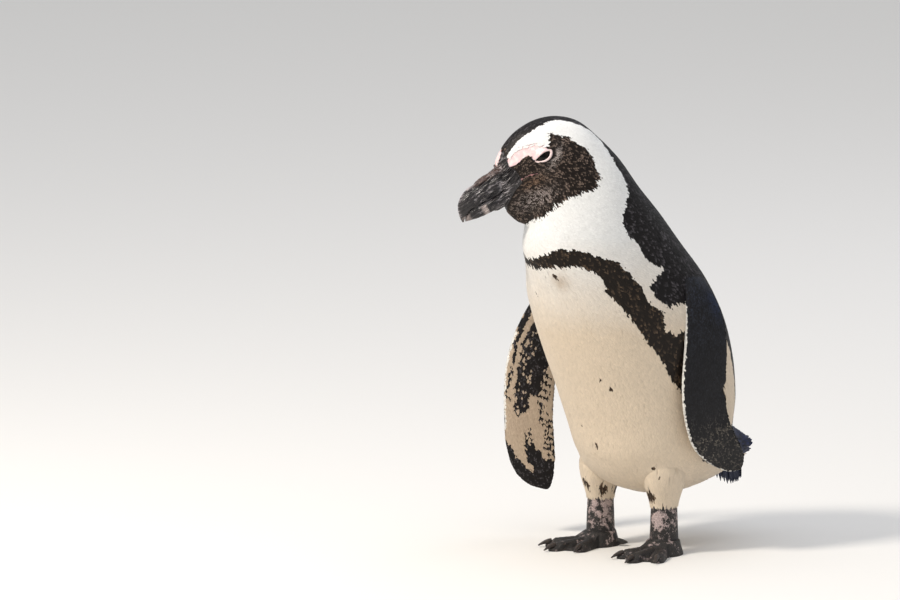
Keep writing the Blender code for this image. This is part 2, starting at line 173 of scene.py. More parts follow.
def spline(keys, at):
    """Smooth curve through equally spaced keys, read at the numbers in at."""
    keys = np.asarray(keys, float)
    at = np.maximum(np.asarray(at, float), 0)
    low = np.minimum(at.astype(int), len(keys) - 2)
    t = (at - low)[..., None]
    padded = np.vstack([2 * keys[0] - keys[1], keys, 2 * keys[-1] - keys[-2]])
    a, b, c, d = (padded[low + k] for k in range(4))
    return 0.5 * (2 * b + (c - a) * t + (2 * a - 5 * b + 4 * c - d) * t**2
                  + (3 * b - a - 3 * c + d) * t**3)


def unit(vectors):
    """The vectors at length 1."""
    return vectors / np.maximum(np.linalg.norm(vectors, axis=-1, keepdims=True), 1e-12)


def egg(top, bottom, half_width, widest, square_top, square_bottom, angle):
    """Points of an egg-shaped section between top and bottom, given as (forward, up)."""
    c, s = np.cos(angle), np.sin(angle)
    power = np.where(c >= 0, 2 / square_top, 2 / square_bottom)
    rise = np.abs(c)**power
    depth = np.where(c >= 0, widest * (1 - rise), widest + (1 - widest) * rise)
    line = top + depth[..., None] * (bottom - top)
    return np.stack([np.sign(s) * half_width * np.abs(s)**power, -line[..., 0], line[..., 1]], -1)


def turned(points, share):
    """The points swung to the bird's right by a share of the head's turn."""
    swing = -HEAD_YAW * share
    x, y = points[..., 0], points[..., 1] + YAW_FORWARD
    return np.stack([np.cos(swing) * x - np.sin(swing) * y,
                     np.sin(swing) * x + np.cos(swing) * y - YAW_FORWARD, points[..., 2]], -1)


def head_place(points):
    """Points given as (side, -forward, up) from between the eyes, moved to the bird."""
    points = np.asarray(points, float)
    c, s = cos(HEAD_PITCH), sin(HEAD_PITCH)
    side, forward, up = points[..., 0], -points[..., 1], points[..., 2]
    moved = np.stack([side, -(forward * c + up * s) - EYES_FORWARD,
                      up * c - forward * s + EYES_UP], -1)
    return turned(moved, 1.0) + ankles


def head_view(points):
    """The reverse of head_place: (side, forward, up) from between the eyes."""
    points = np.asarray(points, float) - ankles
    x, y = points[..., 0], points[..., 1] + YAW_FORWARD
    c, s = cos(HEAD_YAW), sin(HEAD_YAW)
    side, forward = c * x - s * y, -(s * x + c * y - YAW_FORWARD) - EYES_FORWARD
    up = points[..., 2] - EYES_UP
    c, s = cos(HEAD_PITCH), sin(HEAD_PITCH)
    return np.stack([side, forward * c - up * s, forward * s + up * c], -1)


def body_point(number, angle):
    """Point of the coat's outside, by section number and angle from the middle of the back."""
    key = spline(BODY, number)
    ring = egg(key[..., 0:2], key[..., 2:4], *(key[..., k] for k in range(4, 8)), angle)
    share = np.clip((YAW_NONE - number) / (YAW_NONE - YAW_FULL), 0, 1)
    return turned(ring, share * share * (3 - 2 * share)) + ankles


def lie(surface, number, angle, step=0.01):
    """Point, run along the number, run along the angle and outward normal of a surface."""
    along = (surface(number + step, angle) - surface(number - step, angle)) / (2 * step)
    across = (surface(number, angle + step) - surface(number, angle - step)) / (2 * step)
    return surface(number, angle), along, across, unit(np.cross(across, along))


body_middle = (body_point(np.array(13.0), np.array(0.0)) + body_point(np.array(13.0), np.array(pi))) * 0.5
probe, _, _, probe_normal = lie(body_point, np.array(13.0), np.array(1.0))
assert (probe - body_middle) @ probe_normal > 0, "normals must point out of the body"

# ------------------------------------------------------------------------- flippers
# Stiff flat blades of bone in skin, hinged at the shoulder: the left hangs along the flank,
# the right is held off the body with its pale inner side forward.
FLIPPERS = {
    1: [(0.060, 0.004, 0.257), (0.0750, 0.003, 0.237), (0.0815, 0.004, 0.214),
        (0.0845, 0.002, 0.188), (0.0850, -0.001, 0.162), (0.0850, 0.001, 0.138),
        (0.0845, 0.009, 0.116), (0.0835, 0.024, 0.100), (0.0820, 0.0415, 0.087),
        (0.0810, 0.056, 0.0765)],
    -1: [(-0.056, 0.012, 0.262), (-0.077, 0.006, 0.240), (-0.094, 0.000, 0.214),
         (-0.108, -0.003, 0.187), (-0.116, -0.006, 0.161), (-0.119, -0.007, 0.135),
         (-0.1195, -0.007, 0.110), (-0.1183, -0.0061, 0.086), (-0.1142, -0.003, 0.0645),
         (-0.1055, 0.0045, 0.0435)],
}
BLADE = [(0.026, 0.016), (0.034, 0.014), (0.042, 0.0105), (0.0455, 0.0085), (0.046, 0.0070),
         (0.0455, 0.0060), (0.044, 0.0050), (0.0435, 0.0040), (0.037, 0.0030), (0.012, 0.0018)]
LEFT_NARROWED = [1, 1, 1, 1, 1, 1, 0.977, 0.816, 0.703, 0.833]      # the left is more pointed
BLADE_END = len(BLADE) - 1
CHORD_TURN = {1: radians(16), -1: radians(-48)}    # trailing edge, from straight back
BLADE_FULLEST, TIP_ROUND = 0.40, 0.55
NICK = 0.14                        # the left trailing edge is worn back here, by this share
SIDES = {1: "left", -1: "right"}


def flipper_point(side):
    """Surface of a flipper, by number from the shoulder and angle from the leading edge."""
    middles = np.array(FLIPPERS[side])
    across = np.array([side * sin(CHORD_TURN[side]), cos(CHORD_TURN[side]), 0.0])

    def point(number, angle):
        centre = spline(middles, number)
        width, thick = np.moveaxis(spline(BLADE, number), -1, 0)
        past = np.clip((number - BLADE_END + TIP_ROUND) / TIP_ROUND, 0, 1)
        width = width * np.sqrt(np.maximum(1 - past**2, 0.0))
        if side > 0:
            width = width * np.interp(number, range(BLADE_END + 1), LEFT_NARROWED)
            pale_share = NICK * np.exp(-((number - 4.42) / 0.26)**2) - 0.05 * np.exp(-((number - 3.90) / 0.2)**2)
            width = width * (1 - pale_share * (np.cos(angle) < 0))
        along = unit(spline(middles, np.minimum(number + 0.2, BLADE_END))
                     - spline(middles, np.maximum(number - 0.2, 0)))
        chord = unit(across - along * (along @ across)[..., None])
        outward = side * np.cross(along, chord)
        share = -np.cos(angle)
        fullness = -side * np.sin(angle) * (1 - BLADE_FULLEST * share)
        return (centre + (share * width / 2)[..., None] * chord
                + (fullness * thick / 2)[..., None] * outward + ankles)
    return point


# ------------------------------------------------------------------------- markings
# Outlines on the left half, as (section number, degrees from the middle of the back), and the
# same on the right half.  Skin and feathers both take their colour from them.
BACK = [(1.90, -9), (1.94, 47), (2.20, 42), (2.56, 38), (2.94, 35.5), (3.28, 33.5), (3.68, 32.5),
        (4.22, 27), (4.74, 20), (5.08, 20), (5.84, 21.5), (6.62, 15), (7.02, 19), (7.42, 32),
        (7.72, 39.5), (8.02, 43.5), (8.26, 48.5), (8.38, 50), (8.52, 57.5), (8.58, 66.5),
        (8.68, 76.5), (8.86, 84), (9.24, 87), (9.54, 87), (9.92, 90), (10.18, 91), (10.46, 88.5),
        (10.72, 85), (10.84, 100), (11.05, 103), (11.5, 103), (11.80, 99), (11.92, 88),
        (12.3, 74), (12.9, 65), (13.4, 59), (14.5, 56), (15.7, 55), (16.6, 62), (17.6, 76),
        (18.8, 92), (21, 112), (21, -9)]
FACE = [(-1, -9), (1.92, -9), (1.98, 48), (1.58, 62.5), (2.44, 73), (3.26, 70), (3.64, 83),
        (3.95, 88), (4.40, 84), (4.58, 73), (4.52, 68), (4.50, 45), (4.88, 50), (5.56, 49),
        (5.98, 53), (6.48, 50), (6.76, 53.5), (7.08, 61), (7.42, 66), (7.44, 74.5), (7.44, 81),
        (7.16, 85), (7.00, 93), (6.66, 101), (6.46, 110), (6.26, 119), (6.02, 128), (5.50, 139),
        (4.60, 149), (3.60, 159), (3.05, 168), (2.90, 190), (-1, 190)]
FAR_BARE = [(0.10, 8), (0.40, 27), (1.00, 30), (1.30, 27), (1.60, 18), (1.85, 4), (2.00, -20),
            (2.10, -44), (1.58, -62), (1.20, -50), (0.60, -30), (0.10, -8)]
BARE = [(1.58, 62.5), (1.98, 48), (2.42, 45), (2.98, 47), (3.60, 54), (4.24, 60), (4.52, 68),
        (4.58, 73), (4.40, 84), (3.95, 88), (3.64, 83), (3.26, 70), (2.44, 73)]
BAND = [(7.78, 190), (7.74, 154), (7.92, 139), (8.38, 126.5), (8.90, 119), (9.38, 113),
        (9.68, 109), (10.16, 109), (10.76, 108), (11.36, 110), (11.88, 105), (12.40, 109),
        (12.62, 103), (12.55, 92), (12.9, 82), (13.6, 77), (15, 76), (16.2, 84), (17.1, 94),
        (17.2, 99), (16.4, 104), (15.4, 108), (14.6, 111), (14.08, 114), (13.86, 117),
        (13.40, 119), (12.94, 121), (12.54, 125), (11.92, 127), (11.12, 130), (10.50, 133),
        (9.96, 128), (9.62, 130), (9.06, 136.5), (8.84, 149), (8.64, 166), (8.64, 190)]
SPOTS = [(9.14, 161.5, 0.0022), (10.48, -163.5, 0.0017), (13.56, 162.5, 0.0020),
         (13.86, 158.5, 0.0021), (15.06, -167, 0.0014), (15.58, -177, 0.0015),
         (16.30, 142, 0.0018), (16.78, 142, 0.0017)]
BASE = [(-1, -9), (1.72, -9), (1.74, 35), (1.82, 55), (1.84, 68), (2.18, 77), (2.38, 87.5),
        (2.54, 97.7), (2.60, 104), (1.98, 110), (1.46, 117), (0.56, 133), (0.3, 140), (0.05, 165),
        (0.0, 190), (-1, 190)]
GAPE = [(2.45, 99.4), (2.84, 97.8), (3.26, 98.2), (3.90, 100.0), (3.90, 101.6), (3.26, 100.4),
        (2.84, 100.2), (2.45, 101.4)]
RUMP = [(17.6, -9), (17.6, 30), (17.9, 72), (18.6, 92), (21, 112), (21, -9)]
WHITE, BLACK, FACE_BLACK, PINK, SPOT, SLATE, RIM, FOOT, HORN, CREAM, GUM, BLUE, BREAST = range(13)
TINTS = {WHITE: "#f0f0ee", BLACK: "#110f11", FACE_BLACK: "#1a1411", PINK: "#f3d2d3", SPOT: "#3a2d23",
         SLATE: "#15161a", RIM: "#e9e6df", FOOT: "#262220", HORN: "#131010", CREAM: "#b8a590",
         GUM: "#c08a88", BLUE: "#10131f", BREAST: "#17110d"}


def inside(outline, x, y):
    """Whether each point lies inside a closed outline."""
    hit = np.zeros(np.shape(x), bool)
    x1, y1 = outline[-1]
    for x2, y2 in outline:
        if y1 != y2:
            hit ^= ((y1 > y) != (y2 > y)) & (x < (x2 - x1) * (y - y1) / (y2 - y1) + x1)
        x1, y1 = x2, y2
    return hit


def body_marking(number, angle):
    """Which marking each place of the body has."""
    degrees = np.degrees((angle + pi) % tau - pi)
    mark = np.full(np.shape(number), WHITE)
    mark[inside(BAND, number, np.abs(degrees))] = BREAST
    mark[inside(BACK, number, np.abs(degrees))] = BLACK
    mark[inside(FACE, number, np.abs(degrees))] = FACE_BLACK
    mark[inside(BARE, number, np.abs(degrees))] = PINK
    mark[inside(BASE, number, np.abs(degrees))] = HORN
    mark[inside(FAR_BARE, number, degrees)] = PINK
    mark[inside(GAPE, number, np.abs(degrees))] = GUM
    mark[inside(RUMP, number, np.abs(degrees)) & (mark == BLACK)] = BLUE
    points = body_point(number, angle)
    for spot, turn, radius in SPOTS:
        centre = body_point(np.array(spot), np.array(radians(turn)))
        mark[np.linalg.norm((points - centre) * (1, 1, 0.7), axis=-1) < radius] = SPOT
    return mark


# Inside of a flipper, as (number from the shoulder, share across from -1 in front to 1 behind).
FRONT_LINE = ([2.0, 3.0, 3.6, 4.0, 4.6, 5.0, 5.4], [-0.97, -0.87, -0.80, -0.76, -0.79, -0.86, -0.88])
DARK_MIDDLE = [(2.3, -0.42), (3, -0.54), (3.6, -0.58), (4.1, -0.52), (4.6, -0.48), (5.15, -0.60),
               (5.7, -0.62), (6.15, -0.42), (5.8, -0.10), (5.4, 0.08), (5.15, 0.36), (4.6, 0.5),
               (4.3, 0.60), (4.0, 0.80), (3.4, 1.1), (2.3, 1.1)]
LOW_BAND = ([6.5, 6.9, 7.3, 7.85, 8.15], [0.03, 0.0, -0.05, 0.11, 0.45])
FRONT_TIP = [(6.8, -0.98), (7.4, -0.68), (8.0, -0.40), (8.3, -0.15), (8.7, -1.1), (6.8, -1.1)]
TIP_PATCH = [(8.15, -0.1), (8.15, 1.1), (9.1, 1.1), (9.1, -1.1), (8.4, -1.1)]


def flecks(number, share, fine_number, fine_share, seed):
    """Noise from about -1 to 1 over a flipper, as fine as asked each way."""
    places = zip((number * fine_number).ravel().tolist(), (share * fine_share).ravel().tolist())
    return np.array([noise.noise((n, s, seed)) for n, s in places]).reshape(np.shape(number))


def flipper_marking(side):
    """Markings of a flipper: slate outside, silver along its front, cream and black inside."""
    def mark_of(number, angle):
        share = -np.cos(angle)
        inner = side * np.sin(angle) > 0
        mark = np.where(inner, CREAM, SLATE)
        ragged = flecks(number, share, 3.1, 5.3, side * 7.7)
        fine = flecks(number, share, 9.0, 11.0, 3.3 + side)
        n, s = number + 0.13 * ragged + 0.06 * fine, share + 0.12 * ragged + 0.07 * fine
        line = np.abs(s - np.interp(number, *FRONT_LINE)) < np.interp(number, [2, 3, 3.6], [0.2, 0.13, 0.08])
        line &= (number < 5.4) & (fine > np.interp(number, [2.8, 3.4], [-1, -0.26]))
        dark = inside(DARK_MIDDLE, n, s) & ~((share < 0.05) & (fine > 0.40))
        dash = (np.abs(((number - 0.37 * share + 0.03 * fine) / 0.29) % 1 - 0.5) < 0.20 + 0.12 * ragged)
        dash &= (share > np.interp(number, [4.3, 5.5, 6.4], [0.25, 0.32, 0.52])) & (share < 0.86)
        dash &= (number > 4.25) & (number < 6.4)
        streak = (np.abs(s - 0.50) < 0.05) & (number > 5.5) & (number < 6.3)
        low_dash = np.abs(((number - 0.45 * share + 0.02 * fine) / 0.27) % 1 - 0.5) < 0.26 + 0.1 * ragged
        low_dash &= (number > 6.2) & (number < 8.1) & (share > 0.55 + 0.2 * ragged) & (share < 0.98)
        low_half = np.interp(number, [6.3, 6.8, 7.8, 8.2], [0, 0.2, 0.36, 0.5])
        low = np.abs(s - np.interp(number, *LOW_BAND)) < low_half
        low &= fine > np.interp(number, [6.3, 7.1, 7.5], [0.12, -0.2, -1])
        tip = inside(FRONT_TIP, n, s) | inside(TIP_PATCH, n, share)
        mark[inner & (line | dark | dash | streak | low_dash | low | tip)] = BLACK
        mark[inner & (mark == CREAM) & (share < -0.95) & (number > 3.2) & (number < 6.5)] = RIM
        if side > 0:
            mark[inner & (mark == CREAM) & (share > 0.9)] = SLATE
            mark[share < -0.972] = RIM
        return mark
    return mark_of


# ------------------------------------------------------------------------- bill
# Two horn sheaths over bone.  The upper is made of wrinkled plates with a ridge along the top
# and a smooth hook over the tip of the lower, which carries one pale upright bar.
BILL = {
    "bill_upper": [
        (0.0230, 0.0060, 0.0220, -0.0105, 0.0088), (0.0330, 0.0090, 0.0325, -0.0112, 0.0096),
        (0.0440, 0.0092, 0.0430, -0.0116, 0.0092), (0.0550, 0.0084, 0.0530, -0.0115, 0.0080),
        (0.0650, 0.0070, 0.0630, -0.0108, 0.0069), (0.0735, 0.0053, 0.0715, -0.0102, 0.0060),
        (0.0805, 0.0020, 0.0775, -0.0108, 0.0050), (0.0855, -0.0045, 0.0815, -0.0122, 0.0038),
        (0.0876, -0.0112, 0.0842, -0.0144, 0.0024), (0.0880, -0.0164, 0.0868, -0.0170, 0.0009)],
    "bill_lower": [
        (0.0240, -0.0118, 0.0290, -0.0190, 0.0080), (0.0345, -0.0122, 0.0400, -0.0226, 0.0088),
        (0.0445, -0.0125, 0.0510, -0.0250, 0.0086), (0.0540, -0.0124, 0.0600, -0.0232, 0.0075),
        (0.0635, -0.0118, 0.0690, -0.0220, 0.0064), (0.0715, -0.0112, 0.0765, -0.0203, 0.0054),
        (0.0775, -0.0122, 0.0818, -0.0186, 0.0042), (0.0826, -0.0149, 0.0852, -0.0175, 0.0018)],
}
BILL_WIDEST = 0.55
BILL_SQUARES = {"bill_upper": (2.0, 4.5), "bill_lower": (5.0, 2.2)}   # above and below the widest
MOUTH_OVERLAP = 0.0015             # how far the lower edge tucks up inside the upper


def loft(rings):
    """Vertices and faces of a closed form through rings of equal length."""
    rings = np.asarray(rings)
    rows, count = rings.shape[:2]
    near = np.arange(rows - 1)[:, None] * count + np.arange(count)
    step = (np.arange(count) + 1) % count - np.arange(count)
    faces = np.stack([near, near + step, near + step + count, near + count], -1).reshape(-1, 4)
    caps = [list(range(count))[::-1], list(range((rows - 1) * count, rows * count))]
    return rings.reshape(-1, 3), faces.tolist() + caps


def piece(name, vertices, faces, parent="root"):
    """A new object of the bird, riding on its body."""
    mesh = bpy.data.meshes.new(name)
    mesh.from_pydata(vertices, [], faces)
    mesh.validate()
    mesh.shade_smooth()
    made = bpy.data.objects.new(name, mesh)
    bpy.context.scene.collection.objects.link(made)
    if parent:
        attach(made, parent)
    return made


def outward(faces, vertices):
    """The faces, all turned over if the closed form they make is inside out."""
    volume = 0.0
    for face in faces:
        a = vertices[face[0]]
        for j, k in zip(face[1:], face[2:]):
            volume += a @ np.cross(vertices[j], vertices[k])
    return faces if volume > 0 else [face[::-1] for face in faces]


def bill_point(name):
    """Surface of a half of the bill in the head frame, by number from its base and angle."""
    keys = np.array(BILL[name])
    if name == "bill_lower":
        keys[:, 1] += MOUTH_OVERLAP

    def point(number, angle):
        key = spline(keys, number)
        flat = [np.full(np.shape(number), square) for square in BILL_SQUARES[name]]
        return egg(key[..., 0:2], key[..., 2:4], key[..., 4], BILL_WIDEST, *flat, angle)
    return point


def wrinkles(points, plates=None):
    """Height of the horn's relief in metres, and how pale each place is from wear and painted glints, over
    head points.
    """
    side, forward, up = points[..., 0] * 1000, -points[..., 1] * 1000, points[..., 2] * 1000
    # The ridges run forward and down, steeper at the base.
    level = up + 0.10 * (forward - 40) - 0.010 * np.maximum(40 - forward, 0)**2
    shape = forward.shape
    spots = list(zip(forward.ravel(), level.ravel(), side.ravel()))
    long = np.array([noise.noise((f / 16.0, u / 1.7, s * 0.04 + 7)) for f, u, s in spots]).reshape(shape)
    short = np.array([noise.noise((f / 8.0 + 9, u / 0.75, s * 0.06)) for f, u, s in spots]).reshape(shape)
    patchy = np.array([noise.noise((f / 9.0 + 4, u / 5.0, s * 0.03)) for f, u, s in spots]).reshape(shape)
    ridge, crease = 1 - 3.4 * np.abs(long), 1 - 3.4 * np.abs(short)
    rough = np.interp(forward, [16, 24, 34, 56, 68, 78, 86], [0.6, 1.0, 1.3, 1.2, 0.8, 0.4, 0.15])
    height = (0.75 * ridge + 0.34 * crease) * rough
    # The ridge crests are painted pale: partly wear, partly painted glints of light.
    crest_glint_wear = 0.85 * np.clip(1 - 9 * np.abs(long), 0, 1) + 0.65 * np.clip(1 - 8 * np.abs(short), 0, 1)
    pale_share = crest_glint_wear * np.clip(0.60 + 1.5 * patchy, 0.1, 1) * np.minimum(rough, 1)
    # A painted highlight runs along the middle of the top towards the hook.
    edge = np.exp(-(side / 2.2)**2) * np.interp(forward, [54, 64, 88], [0, 1, 1]) * (up > -14)
    pale_share = np.clip(pale_share + edge * (0.30 + 1.8 * short), 0, 1)
    if plates == "bill_upper":
        groove = np.interp(forward, [24, 34, 46, 60, 70], [4.4, 5.0, 4.6, 3.2, 1.6])
        dip = np.exp(-((up - groove) / 0.5)**2) * np.interp(forward, [34, 40, 66, 74], [0, 1, 0.8, 0])
        nostril = np.exp(-(((forward - 40.5) / 2.6)**2 + ((up - 2.1 + 0.12 * (forward - 40.5)) / 0.6)**2))
        height -= 0.45 * dip + 0.9 * nostril
        pale_share = pale_share * (1 - np.minimum(dip + nostril, 1))
    if plates == "bill_lower":
        seam = np.interp(forward, [26, 40, 56, 70], [-15.2, -16.6, -17.4, -17.0])
        dip = np.exp(-((up - seam) / 0.45)**2) * np.interp(forward, [34, 40, 60, 68], [0, 1, 0.8, 0])
        height = height * 0.7 - 0.3 * dip
        pale_share = pale_share * 0.85 * (1 - dip)
    return height * 0.001, pale_share


def bill_half(name, rows, columns):
    """Mesh of a half of the bill, with its relief, and each vertex's place in the head in mm."""
    surface = bill_point(name)
    numbers = np.linspace(0, len(BILL[name]) - 1, rows)
    number, angle = np.meshgrid(numbers, np.linspace(0, tau, columns, endpoint=False), indexing="ij")
    point, _, _, normal = lie(surface, number, angle)
    height, pale_share = wrinkles(point, name)
    point = point + normal * height[..., None]
    vertices, faces = loft(head_place(point))
    half = piece(name + "_horn", vertices, outward(faces, vertices))
    place = half.data.attributes.new("HeadPlace", "FLOAT_VECTOR", "POINT")
    place.data.foreach_set("vector", (point.reshape(-1, 3) * (1000, -1000, 1000)).ravel())
    half.data.attributes.new("WearAndGlint", "FLOAT", "POINT").data.foreach_set("value", pale_share.ravel())
    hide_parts(name)
    return half


# Horn: dark brown-black, paler on its wrinkles from wear and painted glints, with a painted highlight atop
# the hook; half glossy and clear at the hook.
horn, tree, shader = material("ridged_bill_horn")
place = node(tree, "ShaderNodeAttribute", attribute_name="HeadPlace")
parts_of = node(tree, "ShaderNodeSeparateXYZ", {"Vector": place.outputs["Vector"]})
stretched = node(tree, "ShaderNodeMapping", {"Vector": place.outputs["Vector"], "Scale": (0.35, 0.10, 1.0)})
streaks = node(tree, "ShaderNodeTexNoise", {"Vector": stretched.outputs["Vector"], "Scale": 1.8,
                                            "Detail": 6.0, "Roughness": 0.7})
tone = node(tree, "ShaderNodeValToRGB", {"Fac": streaks.outputs["Fac"]})
tone.color_ramp.elements[0].position, tone.color_ramp.elements[0].color = 0.40, paint("#080607")
tone.color_ramp.elements[1].position, tone.color_ramp.elements[1].color = 0.72, paint("#332c2e")
pale_share = node(tree, "ShaderNodeAttribute", attribute_name="WearAndGlint")
# Wear and painted glints pale the crests.
glint_wear_share = node(tree, "ShaderNodeMapRange", {"Value": pale_share.outputs["Fac"], "From Min": 0.12, "From Max": 0.95})
worn_and_glinting = node(tree, "ShaderNodeMix", {0: glint_wear_share.outputs["Result"], 6: tone.outputs["Color"],
                                       7: paint("#b9b1b4")}, data_type="RGBA")
grains = node(tree, "ShaderNodeTexNoise", {"Vector": place.outputs["Vector"], "Scale": 1.1, "Detail": 3.0})
along_top = node(tree, "ShaderNodeValToRGB", {"Fac": node(tree, "ShaderNodeMapRange", {
    "Value": parts_of.outputs["Y"], "From Min": 30.0, "From Max": 75.0}).outputs["Result"]})
for position, level in ((0.0, 0), (0.2, 1.0), (0.62, 1.0), (1.0, 0)):
    stop = (along_top.color_ramp.elements[0] if position == 0 else along_top.color_ramp.elements[-1]
            if position == 1 else along_top.color_ramp.elements.new(position))
    stop.color = (level, level, level, 1)
high = node(tree, "ShaderNodeMapRange", {"Value": parts_of.outputs["Z"], "From Min": 4.2, "From Max": 7.0})
top = node(tree, "ShaderNodeMath", {0: high.outputs["Result"], 1: along_top.outputs["Color"]},
           operation="MULTIPLY")
speck = node(tree, "ShaderNodeMapRange", {"Value": grains.outputs["Fac"], "From Min": 0.35,
                                          "From Max": 0.65})
warm = node(tree, "ShaderNodeMath", {0: top.outputs[0], 1: speck.outputs["Result"]}, operation="MULTIPLY")
ridged = node(tree, "ShaderNodeMix", {0: warm.outputs[0], 6: worn_and_glinting.outputs[2], 7: paint("#62473d")},
              data_type="RGBA")
wobble = node(tree, "ShaderNodeTexNoise", {"Vector": place.outputs["Vector"], "Scale": 0.22, "Detail": 2.0})
wavy = node(tree, "ShaderNodeMath", {0: wobble.outputs["Fac"], 1: 4.0, 2: -2.0}, operation="MULTIPLY_ADD")
ahead = node(tree, "ShaderNodeMath", {0: parts_of.outputs["Y"], 1: wavy.outputs[0]}, operation="ADD")
band = node(tree, "ShaderNodeValToRGB", {"Fac": node(tree, "ShaderNodeMapRange", {
    "Value": ahead.outputs[0], "From Min": 55.0, "From Max": 90.0}).outputs["Result"]})
steps = [(0.0, 0), (0.20, 0), (0.25, 0.85), (0.33, 0.75), (0.40, 0), (0.66, 0), (0.75, 0.45), (0.86, 0.45),
         (0.95, 0.0)]
for position, level in steps:
    stop = (band.color_ramp.elements[0] if position == 0 else band.color_ramp.elements.new(position))
    stop.color = (level, level, level, 1)
band.color_ramp.elements[-1].color = (0, 0, 0, 1)
below = node(tree, "ShaderNodeMapRange", {"Value": parts_of.outputs["Z"], "From Min": -12.2,
                                          "From Max": -13.0})
pale = node(tree, "ShaderNodeMath", {0: band.outputs["Color"], 1: below.outputs["Result"]},
            operation="MULTIPLY")
banded = node(tree, "ShaderNodeMix", {0: pale.outputs[0], 6: ridged.outputs[2], 7: paint("#b8a9a4")},
              data_type="RGBA")
tree.links.new(banded.outputs[2], shader.inputs["Base Color"])
gloss = node(tree, "ShaderNodeMapRange", {"Value": streaks.outputs["Fac"], "To Min": 0.20, "To Max": 0.48})
tree.links.new(gloss.outputs["Result"], shader.inputs["Roughness"])
shader.inputs["IOR"].default_value = 1.55
for name, rows in (("bill_upper", 190), ("bill_lower", 170)):
    bill_half(name, rows, 170).data.materials.append(horn)

# ------------------------------------------------------------------------- eye openings
# The eyeballs fill their lids, which swell a little over them and open in a slanting slit,
# blunt behind and pointed in front.
EYE_RADIUS = 0.009
EYE_SEAT = head_view(middle("eye_left"))       # side, forward and up of the eyeball's middle
SLIT_FORWARD, SLIT_UP, SLIT_TILT = -0.0009, 0.0004, radians(6)
SLIT_HALF, LID_TOP, LID_BOTTOM = 0.0074, 0.0027, 0.0029
SLIT_POINT, SLIT_BLUNT = 1.5, 0.20
LID_THICK = 0.0014


def slit_share(forward, up):
    """How far out from the middle of the eye opening a place is; 1 is its edge."""
    x, z = forward - SLIT_FORWARD, up - SLIT_UP
    along = (x * cos(SLIT_TILT) - z * sin(SLIT_TILT)) / SLIT_HALF
    off = x * sin(SLIT_TILT) + z * cos(SLIT_TILT)
    off = off / np.where(off > 0, LID_TOP, LID_BOTTOM) / (1 - SLIT_BLUNT * np.clip(along, -1, 1))
    return np.sqrt(along**2 + np.abs(off)**(2 / SLIT_POINT))


def slit_edge(turn):
    """Place (forward, up) of the slit's edge, turning from its front corner over the top."""
    c, s = cos(turn), sin(turn)
    off = (LID_TOP if s > 0 else LID_BOTTOM) * np.sign(s) * abs(s)**SLIT_POINT * (1 - SLIT_BLUNT * c)
    x, z = SLIT_HALF * c, off
    return np.array([SLIT_FORWARD + x * cos(SLIT_TILT) + z * sin(SLIT_TILT),
                     SLIT_UP - x * sin(SLIT_TILT) + z * cos(SLIT_TILT)])


def ball_side(forward, up, cover=0.0):
    """How far from the middle of the head the outside of the eyeball, or of its cover, lies."""
    room = np.maximum((EYE_RADIUS + cover)**2 - (forward - EYE_SEAT[1])**2 - (up - EYE_SEAT[2])**2, 0)
    return np.where(room > 0, EYE_SEAT[0] + np.sqrt(room), 0)


def face_point(number, angle):
    """Outside of the coat, with the swelling of the lids over the eyeballs."""
    point = body_point(number, angle)
    place = head_view(point)
    side, forward, up = np.abs(place[..., 0]), place[..., 1], place[..., 2]
    lack = ball_side(forward, up, LID_THICK) - side
    swell = 0.5 * (lack + np.sqrt(lack**2 + 0.0012**2)) * (side > 0.010)
    swell = swell * (np.hypot(forward - SLIT_FORWARD, up - SLIT_UP) < 0.03)
    outward_way = head_place(np.array((1.0, 0, 0))) - head_place(np.zeros(3))
    return point + (np.sign(place[..., 0]) * swell)[..., None] * outward_way


# ------------------------------------------------------------------------- skin
# One thin hide over the whole body, down to the soles.  It lies under the feathers by the
# depth of the coat, and shows only round the eyes, at the gape and on the feet.
LEG_SIDE = 0.038
THIGH = [(0.108, 0.0050, 0.0060), (0.094, 0.0125, 0.0150), (0.080, 0.0178, 0.0205),
         (0.066, 0.0172, 0.0198), (0.051, 0.0130, 0.0150)]
THIGH_END, THIGH_BLEND = len(THIGH) - 1, 0.008
SHANK = [(0.0535, 0.0105, 0.0130), (0.0120, 0.0120, 0.0145)]
ANKLE_HEIGHT, ANKLE_SIZE = 0.0135, (0.0120, 0.0145)
FOOT_TURN = radians(9)
TOES = [(radians(-25), 0.050), (radians(0), 0.060), (radians(24), 0.052)]
TOE_HALF_WIDTH, TOE_HEIGHT, TOE_TIP_HEIGHT = 0.0062, 0.0100, 0.0078
WEB_REACH, WEB_SAG, WEB_THICK = 0.048, 0.14, 0.0030
SOLE_EDGE, HEEL_RADIUS = 0.0018, 0.0175
INSTEP_REACH, INSTEP_RUN = 0.036, 0.022
HIND_TOE_TURN, HIND_TOE_LENGTH, HIND_TOE_RADIUS = radians(-118), 0.0125, 0.0032
HIND_TOE_HEIGHT, HIND_TOE_SEAT = 0.0050, 0.0055


def body_depth(number):
    """How deep the skin lies under the tips of the feathers."""
    return np.interp(number, [0, 0.5, 1.2, 4, 6.5, 10, 20],
                     [0.0028, 0.0012, 0.0006, 0.0009, 0.0013, 0.0019, 0.0021])


